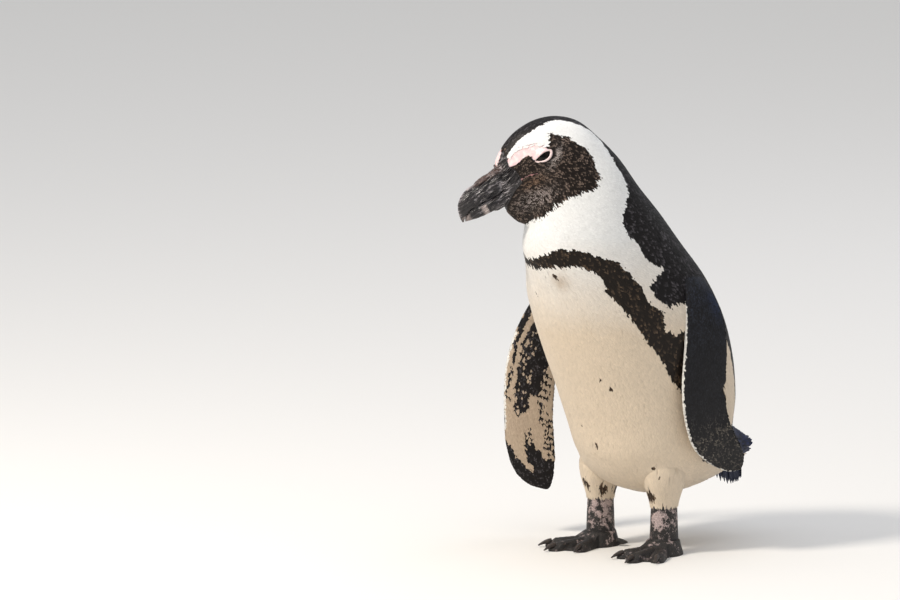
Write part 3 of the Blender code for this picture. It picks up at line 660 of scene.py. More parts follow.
def flank_point(number, angle):
    """Outside of the coat, filled out over the tops of the thighs so that they grow out of it."""
    point = face_point(number, angle)
    place = point - ankles
    levels, wide, long = np.array(THIGH)[::-1].T
    half_x, half_y = np.interp(place[..., 2], levels, wide), np.interp(place[..., 2], levels, long)
    swell = np.zeros(np.shape(number))
    for side in SIDES:
        reach = np.hypot((place[..., 0] - side * LEG_SIDE) / half_x, place[..., 1] / half_y)
        lack = (half_x + half_y) / 2 * (1 - reach)
        swell = swell + 0.5 * (lack + np.sqrt(lack**2 + THIGH_BLEND**2))
    swell = np.maximum(swell - 0.0005, 0) * np.clip((0.125 - place[..., 2]) / 0.025, 0, 1)
    near = swell > 0
    if near.any():
        _, _, _, out = lie(body_point, number[near], angle[near])
        point[near] += out * (swell[near] * (1 - out[:, 2]**2))[:, None]
    return point


def rolled(surface, numbers, angles, depth):
    """Rings of a roll over a surface, inset by a depth, for loft to close and cap."""
    number, angle = np.meshgrid(numbers, angles, indexing="ij")
    point, _, _, normal = lie(surface, number, angle)
    return point - normal * depth(number)[..., None]


def column_point(side, sizes):
    """Surface of an oval upright over an ankle, by number downward from its top."""
    def point(number, angle):
        level, half_x, half_y = np.moveaxis(spline(sizes, number), -1, 0)
        return np.stack([side * LEG_SIDE - half_x * np.sin(angle),
                         -half_y * np.cos(angle), level], -1) + ankles
    return point


def ground_line(side, turn):
    """Unit direction on the ground, turned outward from straight ahead."""
    return np.array([side * sin(turn), -cos(turn)])


def on_foot(side, points):
    """Points drawn round an ankle at the origin, toes along -Y, moved to their foot."""
    turn = side * FOOT_TURN
    x, y, z = np.moveaxis(np.asarray(points, float), -1, 0)
    return np.stack([cos(turn) * x - sin(turn) * y + side * LEG_SIDE,
                     sin(turn) * x + cos(turn) * y, z], -1) + ankles


def toe_reach(ray, line, length):
    """How far a ray from the ankle runs inside a round-ended toe."""
    along, off = float(ray @ line), abs(ray[0] * line[1] - ray[1] * line[0])
    if along <= 0:
        return 0.0
    centre = length - TOE_HALF_WIDTH
    room = TOE_HALF_WIDTH**2 - (centre * off)**2
    return centre * along + room**0.5 if room > 0 else TOE_HALF_WIDTH / off


def foot_height(spots, share, toes):
    """Height of the foot's upper side over spots of the ground; share is 1 at the rim."""
    height = np.full(len(spots), WEB_THICK)
    for line, length in toes:
        along = spots @ line
        off = np.abs(spots[:, 0] * line[1] - spots[:, 1] * line[0])
        ridge = TOE_HEIGHT + (TOE_TIP_HEIGHT - TOE_HEIGHT) * np.clip(along / length, 0, 1)
        scute = 0.00028 * np.abs(np.sin(pi * along / 0.0021))
        ridge = (ridge - scute) * np.sqrt(1 - np.clip(off / (TOE_HALF_WIDTH * 1.35), 0, 1)**2)
        height = np.where(along > 0, np.maximum(height, ridge), height)
    rise = np.clip((INSTEP_REACH - np.hypot(*spots.T)) / INSTEP_RUN, 0, 1)
    height = np.maximum(height, ANKLE_HEIGHT * rise)
    return SOLE_EDGE + (height - SOLE_EDGE) * min(1, (1 - share) / 0.18)


def foot_rings(side):
    """Rings of a webbed foot, from its flat sole up to the ankle."""
    toes = [(ground_line(side, turn), length) for turn, length in TOES]
    turns = np.radians(np.concatenate([np.arange(-40, 40.1, 0.8), np.linspace(44, 316, 60)]))
    rays = np.array([ground_line(side, turn) for turn in turns])
    reaches = []
    for turn, ray in zip(turns, rays):
        reach = HEEL_RADIUS * (1 + 0.25 * max(0, cos(turn)))
        if TOES[0][0] <= turn <= TOES[-1][0]:
            reach = WEB_REACH * (1 - WEB_SAG + WEB_SAG * cos(turn * 3))
        reaches.append(max([reach] + [toe_reach(ray, line, length) for line, length in toes]))
    outline = rays * np.array(reaches)[:, None]
    rings = [np.column_stack([outline, np.zeros(len(outline))])]
    for share in (1.0, 0.985, 0.96, 0.93, *np.linspace(0.9, 0.3, 22)):
        spots = outline * share
        rings.append(np.column_stack([spots, foot_height(spots, share, toes)]))
    rings.append(np.column_stack([rays * ANKLE_SIZE, np.full(len(rays), ANKLE_HEIGHT + 0.0004)]))
    return [on_foot(side, ring) for ring in rings]


def hind_toe_rings(side):
    """Rings of the small toe at the back of the ankle."""
    line = np.array([*ground_line(side, HIND_TOE_TURN), 0])
    level, angles = np.array([line[1], -line[0], 0]), np.linspace(0, tau, 28, endpoint=False)
    rim = np.outer(np.cos(angles), level) + np.outer(np.sin(angles), (0, 0, 1))
    start = 0.0085
    return [on_foot(side, line * (start + (HIND_TOE_SEAT + HIND_TOE_LENGTH) * s)
                    + (0, 0, HIND_TOE_HEIGHT - 0.0014 * s) + rim * HIND_TOE_RADIUS * (1 - 0.75 * s**3))
            for s in np.linspace(0, 1, 20)]


# The rings are closer together round the eyes, where the skin folds in behind the lids.
eye_turns = np.radians(np.arange(62, 98, 0.55))
other_turns = [turn for turn in np.linspace(-pi, pi, 240, endpoint=False)
               if not radians(61) < abs(turn) < radians(98.5)]
BODY_RING = np.array(sorted([*-eye_turns, *eye_turns, *other_turns]))
BLADE_RING = np.linspace(0, tau, 96, endpoint=False)
body_numbers = np.concatenate([np.linspace(0, 2.8, 110, endpoint=False),
                               np.linspace(2.8, 3.5, 20, endpoint=False),
                               np.linspace(3.5, 4.9, 100, endpoint=False),
                               np.linspace(4.9, 6, 30, endpoint=False), np.linspace(6, TAIL_END, 180)])
forms = [("body", rolled(flank_point, body_numbers, BODY_RING, body_depth))]
for side, word in SIDES.items():
    blade_numbers = np.concatenate([np.linspace(0.3, 8.3, 110), np.linspace(8.35, 8.94, 14)])
    forms.append(("flipper_" + word, rolled(flipper_point(side), blade_numbers, BLADE_RING,
                                            lambda n: np.interp(n, [0, 7, 9], [0.0006, 0.0004, 0.0003]))))
    forms.append(("thigh_" + word, rolled(column_point(side, THIGH), np.linspace(0, THIGH_END, 40),
                                          np.linspace(0, tau, 64, endpoint=False),
                                          lambda n: 0.0012 + 0 * n)))
    forms.append(("shank_" + word, rolled(column_point(side, SHANK), np.linspace(0, 1, 24),
                                          np.linspace(0, tau, 48, endpoint=False),
                                          lambda n: 0 * n)))
    forms.append(("foot_" + word, foot_rings(side)))
    forms.append(("hind_toe_" + word, hind_toe_rings(side)))
objects = []
for name, rings in forms:
    vertices, faces = loft(rings)
    objects.append(piece(name + "_form", vertices, outward(faces, vertices), parent=None))
skin = objects[0]
skin.name = "skin"
for other in objects[1:]:
    union = skin.modifiers.new("join " + other.name, "BOOLEAN")
    union.operation = "UNION"
    union.solver = "MANIFOLD"
    union.object = other
joined = bpy.data.meshes.new_from_object(skin.evaluated_get(bpy.context.evaluated_depsgraph_get()))
skin.modifiers.clear()
skin.data = joined
for other in objects[1:]:
    bpy.data.objects.remove(other)
joined.shade_smooth()


def blotches(points, size, seed):
    """Smooth noise from about -1 to 1 over points, with spots of a size in metres."""
    return np.array([noise.noise((x / size + seed, y / size, z / size)) for x, y, z in points.tolist()])


BARE_FEATHERED, BARE_FACE, BARE_FOOT, BARE_HORN = range(4)
form_points, form_tints, form_kinds = [], [], []
for name, rings in forms:
    points = np.asarray(rings).reshape(-1, 3)
    kind = np.full(len(points), BARE_FEATHERED)
    if name == "body":
        number, angle = np.meshgrid(body_numbers, BODY_RING, indexing="ij")
        mark = body_marking(number, angle).ravel()
        kind[(mark == PINK) | (mark == GUM)] = BARE_FACE
        kind[mark == HORN] = BARE_HORN
        rosy = mark == PINK
    elif name.startswith("flipper"):
        side = 1 if name.endswith("left") else -1
        number, angle = np.meshgrid(blade_numbers, BLADE_RING, indexing="ij")
        mark = flipper_marking(side)(number, angle).ravel()
    else:
        mark = np.full(len(points), WHITE if name.startswith("thigh") else FOOT)
        kind[:] = BARE_FEATHERED if name.startswith("thigh") else BARE_FOOT
    tints = np.array([paint(TINTS[k])[:3] for k in range(len(TINTS))])[mark]
    if name == "body":
        paleness = np.clip(0.12 + 1.3 * blotches(points[rosy], 0.0035, 3.0), 0, 1)[:, None]
        tints[rosy] += (np.array(paint("#fdeeeb")[:3]) - tints[rosy]) * paleness
    form_points.append(points)
    form_tints.append(tints)
    form_kinds.append(kind)
form_points, form_tints = np.concatenate(form_points), np.concatenate(form_tints)
form_kinds = np.concatenate(form_kinds)
tree = KDTree(len(form_points))
for index, point in enumerate(form_points.tolist()):
    tree.insert(point, index)
tree.balance()
skin_points = np.array([vertex.co for vertex in joined.vertices])
nearest = np.array([tree.find(point)[1] for point in skin_points.tolist()])
colour = joined.color_attributes.new("Plumage", "FLOAT_COLOR", "POINT")
colour.data.foreach_set("color", np.column_stack([form_tints[nearest], np.ones(len(nearest))]).ravel())
flesh = BVHTree.FromPolygons(skin_points.tolist(), [tuple(face.vertices) for face in joined.polygons])


def skin_look(name, roughness, bump_size, bump_height, crease_shade, subsurface=0.0, blotched=None):
    """Hide coloured by its markings, with fine creases of a size in metres painted darker as shade, blotched
    up the leg.
    """
    made, nodes, shader = material(name)
    tint = node(nodes, "ShaderNodeAttribute", attribute_name="Plumage")
    place = node(nodes, "ShaderNodeTexCoord")
    skin_tint = tint.outputs["Color"]
    if blotched:
        spread = node(nodes, "ShaderNodeTexNoise", {"Vector": place.outputs["Object"], "Scale": 1 / 0.0095,
                                                    "Detail": 8.0, "Roughness": 0.78})
        level = node(nodes, "ShaderNodeSeparateXYZ", {"Vector": place.outputs["Object"]})
        more = node(nodes, "ShaderNodeMapRange", {"Value": level.outputs["Z"], "From Min": 0.008,
                                                  "From Max": 0.026, "To Min": -0.07, "To Max": 0.02})
        amount = node(nodes, "ShaderNodeMath", {0: spread.outputs["Fac"], 1: more.outputs["Result"]},
                      operation="ADD")
        sharp = node(nodes, "ShaderNodeMapRange", {"Value": amount.outputs[0], "From Min": 0.50,
                                                   "From Max": 0.56})
        skin_tint = node(nodes, "ShaderNodeMix", {0: sharp.outputs["Result"], 6: skin_tint,
                                                  7: paint(blotched)}, data_type="RGBA").outputs[2]
    cells = node(nodes, "ShaderNodeTexVoronoi", {"Vector": place.outputs["Object"], "Scale": 1 / bump_size},
                 feature="DISTANCE_TO_EDGE")
    crease = node(nodes, "ShaderNodeMapRange", {"Value": cells.outputs["Distance"], "From Max": 0.25})
    # The creases are painted darker, as shade falling in them.
    shade = node(nodes, "ShaderNodeMapRange", {"Value": crease.outputs["Result"], "To Min": crease_shade})
    tinted = node(nodes, "ShaderNodeVectorMath", {0: skin_tint, 1: shade.outputs["Result"]},
                  operation="MULTIPLY")
    bump = node(nodes, "ShaderNodeBump", {"Height": crease.outputs["Result"], "Strength": 0.6,
                                          "Distance": bump_height})
    nodes.links.new(tinted.outputs[0], shader.inputs["Base Color"])
    nodes.links.new(bump.outputs["Normal"], shader.inputs["Normal"])
    shader.inputs["Roughness"].default_value = roughness
    shader.inputs["Subsurface Weight"].default_value = subsurface
    shader.inputs["Subsurface Radius"].default_value = (0.004, 0.0015, 0.001)
    shader.inputs["Subsurface Scale"].default_value = 0.5
    return made


# Hide under the feathers: matt, hardly seen, its creases painted darker as shade.
joined.materials.clear()
joined.materials.append(skin_look("feathered_hide", 0.8, 0.0016, 0.0002, 0.7))
# Bare skin over the eye: thin, pink with blood, finely pored, with faint painted shade in its creases.
joined.materials.append(skin_look("bare_face_skin", 0.5, 0.0007, 0.00007, 0.94, 0.15))
# Foot skin: leathery, in small raised scales whose creases are painted darker as shade, blotched paler up
# the leg.
joined.materials.append(skin_look("scaled_foot_skin", 0.5, 0.0017, 0.0005, 0.62, blotched="#c9b4b0"))
joined.materials.append(horn)
face_kinds = [max(form_kinds[nearest[v]] for v in face.vertices) for face in joined.polygons]
joined.polygons.foreach_set("material_index", face_kinds)


def face_side(side, forward, up):
    """How far from the middle of the head the hide lies."""
    outside, inside_ = (Vector(head_place((side * s, -forward, up))) for s in (0.06, 0.0))
    hit = flesh.ray_cast(outside, (inside_ - outside).normalized())
    return abs(head_view(hit[0])[0]) if hit[0] else 0.02


in_head = head_view(skin_points)
share = slit_share(in_head[:, 1], in_head[:, 2])
sunk = np.minimum(np.abs(in_head[:, 0]), ball_side(in_head[:, 1], in_head[:, 2]) - 0.0010)
near_slit = (share < 1.12) & (np.abs(in_head[:, 0]) > 0.012) & (np.abs(in_head[:, 1]) < 0.02)
deep = np.clip((1.12 - share) / 0.10, 0, 1)
in_head[:, 0] = np.where(near_slit, np.sign(in_head[:, 0]) * (
    np.abs(in_head[:, 0]) * (1 - deep) + sunk * deep), in_head[:, 0])
moved = head_place(in_head * (1, -1, 1))
skin_points = np.where(near_slit[:, None], moved, skin_points)
skin_normals = np.array([vertex.normal for vertex in joined.vertices])
near_bill = form_kinds[nearest] == BARE_HORN
at_base = head_view(skin_points[near_bill]) * (1, -1, 1)
height, pale_share = wrinkles(at_base)
skin_points[near_bill] += skin_normals[near_bill] * (height + 0.0002)[:, None]
joined.vertices.foreach_set("co", skin_points.ravel())
joined.update()
place = joined.attributes.new("HeadPlace", "FLOAT_VECTOR", "POINT")
place.data.foreach_set("vector", (head_view(skin_points) * 1000).ravel())
# The horn-covered skin at the bill base carries the same pale wear and painted glints.
wear_and_glint = np.zeros(len(skin_points))
wear_and_glint[near_bill] = pale_share
joined.attributes.new("WearAndGlint", "FLOAT", "POINT").data.foreach_set("value", wear_and_glint)
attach(skin, "root")
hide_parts("head", "neck", "trunk", *(part + "_" + word for word in SIDES.values()
                                             for part in ("flipper", "thigh", "shank", "foot", "hind_toe")))

# ------------------------------------------------------------------------- coat
# Short stiff lance-shaped feathers, each a closed vane with a raised shaft, rooted in the skin
# and lapping the next like slates from the bill back to the tail.
VANE_ROWS = (0.0, 0.35, 0.68, 0.88, 1.0)
VANE_WIDTHS = (0.85, 1.0, 0.66)    # of the full width, at the three cross rows of a vane
VANE_RIDGE, VANE_SPREAD = 0.08, 0.20   # height of the shaft's ridge, of the width, and its shading
FLAT_RISE, LOOSE_RISE = 0.34, 0.62     # white feathers lie smoother than black ones
PATCH = 0.003                      # size of a feather's patch on the unwrap of the skin
random = np.random.default_rng(7)


def scattered(surface, numbers, angles, spacing, tries):
    """Feather roots as (number, angle), spread evenly with a least spacing between them."""
    n_edge, a_edge = np.linspace(*numbers, 321), np.linspace(*angles, 181)
    n_step, a_step = n_edge[1] - n_edge[0], a_edge[1] - a_edge[0]
    number, angle = np.meshgrid(n_edge[:-1] + n_step / 2, a_edge[:-1] + a_step / 2, indexing="ij")
    _, along, across, _ = lie(surface, number, angle)
    weight = np.linalg.norm(np.cross(along, across), axis=-1) / spacing(number)**2
    chosen = random.choice(weight.size, tries, p=(weight / weight.sum()).ravel())
    number = number.ravel()[chosen] + (random.random(tries) - 0.5) * n_step
    angle = angle.ravel()[chosen] + (random.random(tries) - 0.5) * a_step
    points, least = surface(number, angle), spacing(number)
    size = least.max()
    cells = np.floor(points / size).astype(int)
    near = [(i, j, k) for i in (-1, 0, 1) for j in (-1, 0, 1) for k in (-1, 0, 1)]
    table, kept = {}, []
    place = points.tolist()
    for index, (cx, cy, cz) in enumerate(cells.tolist()):
        x, y, z = place[index]
        room = least[index]**2
        for i, j, k in near:
            if any((x - p[0])**2 + (y - p[1])**2 + (z - p[2])**2 < room
                   for p in table.get((cx + i, cy + j, cz + k), ())):
                break
        else:
            table.setdefault((cx, cy, cz), []).append((x, y, z))
            kept.append(index)
    return number[kept], angle[kept]


def feathers(name, surface, roots, length, width, depth, tip_depth, tints, rise, look):
    """One coat piece: a closed vane at each root, lying along the surface."""
    number, angle = roots
    count = len(number)
    if not count:
        return None
    point, along, across, _ = lie(surface, number, angle)
    run, turn = np.linalg.norm(along, axis=-1), np.maximum(np.linalg.norm(across, axis=-1), 1e-4)
    drift = random.normal(0, 0.13, count) * length
    lift = random.normal(0, 0.16 * rise, count)
    wide = width * random.uniform(0.85, 1.15, count)
    vertices = np.empty((count, 11, 3))
    normals = np.empty((count, 11, 3))
    places = []
    for row in VANE_ROWS:
        n = number + row * length / run
        a = angle + row**1.5 * drift / turn
        p, t, _, up = lie(surface, n, a)
        sideways = unit(np.cross(up, t))
        sunk = depth + (tip_depth - depth) * row**rise
        sunk = sunk * (1 + lift * row)
        places.append((p - up * sunk[..., None], sideways, up))
    vertices[:, 0], normals[:, 0] = places[0][0], places[0][2]
    vertices[:, 10], normals[:, 10] = places[-1][0], places[-1][2]
    for row, share in enumerate(VANE_WIDTHS):
        first = 3 * row + 1
        centre, sideways, up = places[row + 1]
        half = (wide * share / 2)[:, None] * sideways
        ridge = (VANE_RIDGE * wide)[:, None] * up
        vertices[:, first], normals[:, first] = centre + half, unit(up + VANE_SPREAD * sideways)
        vertices[:, first + 1], normals[:, first + 1] = centre + ridge, up
        vertices[:, first + 2], normals[:, first + 2] = centre - half, unit(up - VANE_SPREAD * sideways)
    quads = [(0, 2, 1), (0, 3, 2), (1, 2, 5, 4), (2, 3, 6, 5), (4, 5, 8, 7), (5, 6, 9, 8), (7, 8, 10),
             (8, 9, 10), (0, 1, 4, 7, 10, 9, 6, 3)]
    corners = np.concatenate([np.array(f) for f in quads])
    sizes = np.array([len(f) for f in quads])
    loops = (np.arange(count)[:, None] * 11 + corners).ravel()
    mesh = bpy.data.meshes.new(name)
    mesh.vertices.add(count * 11)
    mesh.loops.add(len(loops))
    mesh.polygons.add(count * len(quads))
    mesh.vertices.foreach_set("co", vertices.ravel())
    mesh.loops.foreach_set("vertex_index", loops)
    starts = np.concatenate([[0], np.cumsum(np.tile(sizes, count))[:-1]])
    mesh.polygons.foreach_set("loop_start", starts)
    mesh.update(calc_edges=True)
    top = np.ones(len(corners))
    top[-sizes[-1]:] = -1
    mesh.shade_smooth()
    mesh.normals_split_custom_set((normals[:, corners] * top[:, None]).reshape(-1, 3))
    rows = [(0.5 + k * share / 2, row) for row, share in zip(VANE_ROWS[1:], VANE_WIDTHS) for k in (-1, 0, 1)]
    local = np.array([(0.5, 0), *rows, (0.5, 1)])
    base = np.stack([(angle % tau) / tau * 0.98 + 0.01, number / 21 * 0.98 + 0.01], -1)
    patches = base[:, None] + (local - 0.5) * PATCH
    mesh.uv_layers.new(name="OFBake").data.foreach_set("uv", patches[:, corners].ravel())
    mesh.uv_layers.new(name="Vane").data.foreach_set("uv", np.tile(local[corners], (count, 1)).ravel())
    colour = mesh.color_attributes.new("Plumage", "FLOAT_COLOR", "POINT")
    colour.data.foreach_set("color", tints.reshape(-1))
    made = bpy.data.objects.new(name, mesh)
    bpy.context.scene.collection.objects.link(made)
    mesh.materials.append(look)
    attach(made, "root")
    return made


def feather_look(name, roughness, sheen, specular_tint):
    """Keratin vane: soft, a little glossy along the barbs."""
    made, tree, shader = material(name)
    colour = node(tree, "ShaderNodeAttribute", attribute_name="Plumage")
    vane = node(tree, "ShaderNodeUVMap", uv_map="Vane")
    barbs = node(tree, "ShaderNodeTexWave", {"Vector": vane.outputs["UV"], "Scale": 1.6, "Distortion": 1.2},
                 wave_type="BANDS", bands_direction="DIAGONAL")
    shade = node(tree, "ShaderNodeMapRange", {"Value": barbs.outputs["Fac"], "To Min": 0.90, "To Max": 1.0})
    tinted = node(tree, "ShaderNodeVectorMath", {0: colour.outputs["Color"], 1: shade.outputs["Result"]},
                  operation="MULTIPLY")
    tree.links.new(tinted.outputs[0], shader.inputs["Base Color"])
    shader.inputs["Roughness"].default_value = roughness
    shader.inputs["Specular IOR Level"].default_value = 0.22
    shader.inputs["Sheen Weight"].default_value = sheen
    shader.inputs["Sheen Roughness"].default_value = 0.4
    shader.inputs["Specular Tint"].default_value = specular_tint
    return made


black_feather = feather_look("black_contour_feather", 0.46, 0.0, paint("#fff8f2"))
white_feather = feather_look("white_contour_feather", 0.60, 0.12, paint("#ffffff"))
# How far each of a vane's points takes the paler colour of its tip, worn and with a painted glint, from its
# root to its point.
VANE_TIP = np.array([0, 0.05, 0.0, 0.05, 0.45, 0.25, 0.45, 0.9, 0.7, 0.9, 1.0])[None, :, None]


def shaded(mark, number, angle, surface):
    """Colour of each of a feather's points, from its marking and place."""
    count = len(mark)
    base = np.array([paint(TINTS[k])[:3] for k in range(len(TINTS))])[mark]
    points = surface(number, angle)
    white, face = mark == WHITE, mark == FACE_BLACK
    # White feathers grow warmer and darker from the breast down, part stain and part painted shade and warm
    # bounced light, and darker tan in one patch under the band.
    stain_and_bounce_light = np.clip((0.300 - points[:, 2] + 0.006 * blotches(points, 0.02, 1.0)) / 0.095, 0, 1)
    under_band = body_point(np.array(9.6), np.array(radians(161)))
    tan_patch = np.exp(-(np.linalg.norm(points - under_band, axis=1) / 0.008)**2)
    for share, code in ((stain_and_bounce_light, "#dccbb4"), (0.5 * tan_patch, "#a88c6c")):
        base = base + (np.array(paint(code)[:3]) - base) * (share * white)[:, None]
    base = np.where(white[:, None], base * random.normal(1, 0.03, count)[:, None], base)
    tints = np.repeat(base[:, None], 11, axis=1)
    # The feather tips are painted paler in small clusters, part wear and part painted glints of
    # light: pale behind the eye, brown at the gape, grey on the cheek, few elsewhere.
    in_head = head_view(points) * 1000
    ahead, up = in_head[:, 1], in_head[:, 2]
    fleck = 2.6 * blotches(points, 0.0016, 2.0) + random.normal(0, 0.25, count)
    cluster = fleck + 0.7 * blotches(points, 0.007, 5.0)
    streak = np.exp(-(((ahead + 10) / 8.5)**2 + ((up + 5.5 + 0.55 * (ahead + 10)) / 3.6)**2))
    gape = np.exp(-(((ahead - 18) / 9)**2 + ((up + 17) / 4.5)**2))
    cheek = np.exp(-(((ahead - 23) / 15)**2 + ((up + 30) / 7.5)**2))
    glints = [(face, -0.22, "#8d7a6e"), (face * streak, 0.75, "#d8ccc6"), (face * gape, 0.40, "#94735a"),
              (face * cheek, 0.45, "#bdb0ab"), (mark == BLACK, -0.30, "#5e5a5e"),
              (mark == BREAST, -0.25, "#665443"), (mark == SPOT, 0.1, "#7b6654")]
    for where, level, code in glints:
        pale = np.array(paint(code)[:3]) * random.uniform(0.75, 1.2, count)[:, None]
        share = (np.clip(level + cluster, 0, 1) * where)[:, None, None] * VANE_TIP
        tints = tints + (pale[:, None] - tints) * share
    # Outside, a flipper carries painted light: a blue sky reflection at the shoulder, a smooth grey sheen
    # below it, bluish near the top, and flecks of painted glint near its end.
    sky_reflection_share = np.exp(-((number - 1.35) / 0.45)**2 - ((np.cos(angle) + 0.7) / 0.35)**2)
    low_part = np.clip((number - 5.0) / 1.2, 0, 1)
    shoulder = np.clip((3.2 - number) / 2, 0, 1)
    for where, level, code in ((sky_reflection_share, 0.50, "#2d4678"), (1 - low_part, 0.25, "#31343b"),
                               (shoulder, 0.16, "#3c4355"),
                               (low_part, -0.12, "#8b8377")):
        share = np.clip(level + 0.6 * cluster * (0.35 + 0.65 * low_part), 0, 1) * where * (mark == SLATE)
        tints = tints + (np.array(paint(code)[:3]) - tints) * share[:, None, None] * VANE_TIP
    # Rump feathers take a painted blue sheen at their tips.
    blue_sheen = np.array(paint("#26376a")[:3]) * random.uniform(0.2, 1.0, count)[:, None]
    tints = tints + (blue_sheen[:, None] - tints) * (mark == BLUE)[:, None, None] * VANE_TIP * 0.8
    stained = np.isin(mark, (CREAM, RIM))[:, None, None]
    tints = np.where(stained, tints * random.normal(1, 0.07, count)[:, None, None], tints)
    return np.concatenate([np.clip(tints, 0, 1), np.ones((count, 11, 1))], -1)


def coats(name, surface, marking, roots, length, width, depth, tip_depth, cuts=()):
    """The coat over one part, in a black and a white piece for each stretch between cuts."""
    number, angle = roots
    _, along, _, _ = lie(surface, number, angle)
    ahead = 0.90 * length(number) / np.linalg.norm(along, axis=-1)
    ahead = ahead + random.normal(0, 0.0009, len(number)) / np.linalg.norm(along, axis=-1)
    mark = marking(number + ahead, angle)
    in_head = head_view(surface(number, angle))
    reach = slit_share(in_head[:, 1], in_head[:, 2])
    at_eye = (reach < 1.40) & (np.abs(in_head[:, 0]) > 0.01) & (np.abs(in_head[:, 1]) < 0.02)
    degrees = np.abs(np.degrees((angle + pi) % tau - pi))
    upper_edge = np.interp(number, [1.98, 2.42, 2.98, 3.60, 4.24, 4.50], [48, 45, 47, 54, 60, 66])
    sparse = (mark == PINK) & (random.random(len(number)) < (upper_edge + 9 - degrees) / 11)
    mark = np.where(sparse & (number > 1.9), WHITE, mark)
    bare = np.isin(mark, (PINK, GUM, HORN)) | (marking(number, angle) == HORN) | at_eye
    bare |= (marking(number + 0.6 * ahead, angle) == GUM) | (marking(number + 0.3 * ahead, angle) == GUM)
    tints = shaded(mark, number + ahead, angle, surface)
    dark = np.isin(mark, (BLACK, FACE_BLACK, SPOT, SLATE, BLUE, BREAST))
    stretch = np.searchsorted(list(cuts), number)
    for part in range(len(cuts) + 1):
        for is_dark, shade, look, slot_name in ((True, "black", black_feather, "plumage_black"),
                                                (False, "white", white_feather, "plumage_white")):
            mine = (stretch == part) & (dark == is_dark) & ~bare
            n = number[mine]
            feathers(f"coat_{name}_{part + 1}_{shade}" if cuts else f"coat_{name}_{shade}", surface,
                     (n, angle[mine]), length(n), width(n) * (1 if is_dark else 1.2), depth(n),
                     tip_depth(n), tints[mine],
                     LOOSE_RISE if is_dark else FLAT_RISE, look)


many = 1.0
widen = 1 / many**0.5
SPACING = ([0, 2, 5, 7, 10, 20], [0.0005, 0.0006, 0.0008, 0.0011, 0.0016, 0.0017])
body_spacing = lambda n: widen * np.interp(n, *SPACING)
coats("body", flank_point, body_marking,
      scattered(flank_point, (0.02, TAIL_END - 0.02), (-pi, pi), body_spacing, int(560000 * many)),
      length=lambda n: body_spacing(n) * 5.0, width=lambda n: body_spacing(n) * 1.7,
      depth=body_depth, tip_depth=lambda n: 0.0002 + 0 * n, cuts=(3.0, 5.0, 6.5, 9.0, 11.5, 13.5, 15.5))
# Longer soft feathers end the rump, loose and standing a little off the tail.
coats("rump", flank_point, lambda n, a: np.where(body_marking(n, a) == WHITE, WHITE, BLUE),
      scattered(flank_point, (17.4, TAIL_END - 0.1), (-pi, pi), lambda n: widen * (0.0024 + 0 * n),
                int(20000 * many)),
      length=lambda n: np.interp(n, [17.4, 20], [0.008, 0.012]), width=lambda n: widen * (0.0026 + 0 * n),
      depth=body_depth, tip_depth=lambda n: -np.interp(n, [17.4, 19.9], [0.0005, 0.0035]))
for side, word in SIDES.items():
    coats("flipper_" + word, flipper_point(side), flipper_marking(side),
          scattered(flipper_point(side), (0.2, BLADE_END - 0.12), (0, tau),
                    lambda n: widen * (0.00105 + 0 * n), int(90000 * many)),
          length=lambda n: widen * (0.0042 + 0 * n), width=lambda n: widen * (0.0018 + 0 * n),
          depth=lambda n: np.interp(n, [0, 7, 9], [0.0006, 0.0004, 0.0003]),
          tip_depth=lambda n: 0.00005 + 0 * n)

# Number down the thigh, degrees round it from the front, and half the height and width.
THIGH_MARKS = {1: [(1.90, -20, 0.15, 6), (2.60, -32, 0.14, 6), (3.9, 20, 0.40, 26)],
               -1: [(3.65, 12, 0.42, 17), (3.95, -50, 0.40, 18), (3.8, -140, 0.8, 40)]}


def thigh_marking(side):
    """Dark brown patches among the white feathers of a thigh, the largest low on its inner side."""
    def mark_of(number, angle):
        degrees = np.degrees((angle + pi) % tau - pi)
        wander = flecks(number, degrees, 2.3, 0.12, 4.4 + side)
        mark = np.full(np.shape(number), WHITE)
        for at, turn, high, wide in THIGH_MARKS[side]:
            mark[((number - at) / high)**2 + ((degrees - turn) / wide)**2 < 1 + 1.2 * wander] = SPOT
        return mark
    return mark_of


for side, word in SIDES.items():
    surface = column_point(side, THIGH)
    coats("thigh_" + word, surface, thigh_marking(side),
          scattered(surface, (0.6, THIGH_END - 0.12), (0, tau),
                    lambda n: widen * (0.0014 + 0 * n), int(24000 * many)),
          length=lambda n: widen * np.interp(n, [0.6, 2.5], [0.0075, 0.0115]),
          width=lambda n: widen * (0.0019 + 0 * n),
          depth=lambda n: 0.0012 + 0 * n, tip_depth=lambda n: -0.00012 * n)

# ------------------------------------------------------------------------- tail
# A short fan of stiff pointed feathers with strong shafts, in two layers.  Their ends are held
# inside the rump, and the middle ones are the longest.
TAIL_ROOT, TAIL_DROP, TAIL_LENGTH = (0.0, 0.1275, 0.0835), radians(68), 0.042
TAIL_SPREAD, TAIL_ROOT_HALF = radians(4), 0.0125
TAIL_SEATED, TAIL_FEATHER_WIDTH = 0.012, 0.0058   # length held inside the rump
TAIL_FEATHERS = {"upper": (11, 0.0016), "lower": (10, -0.0022)}     # how many, and their lift


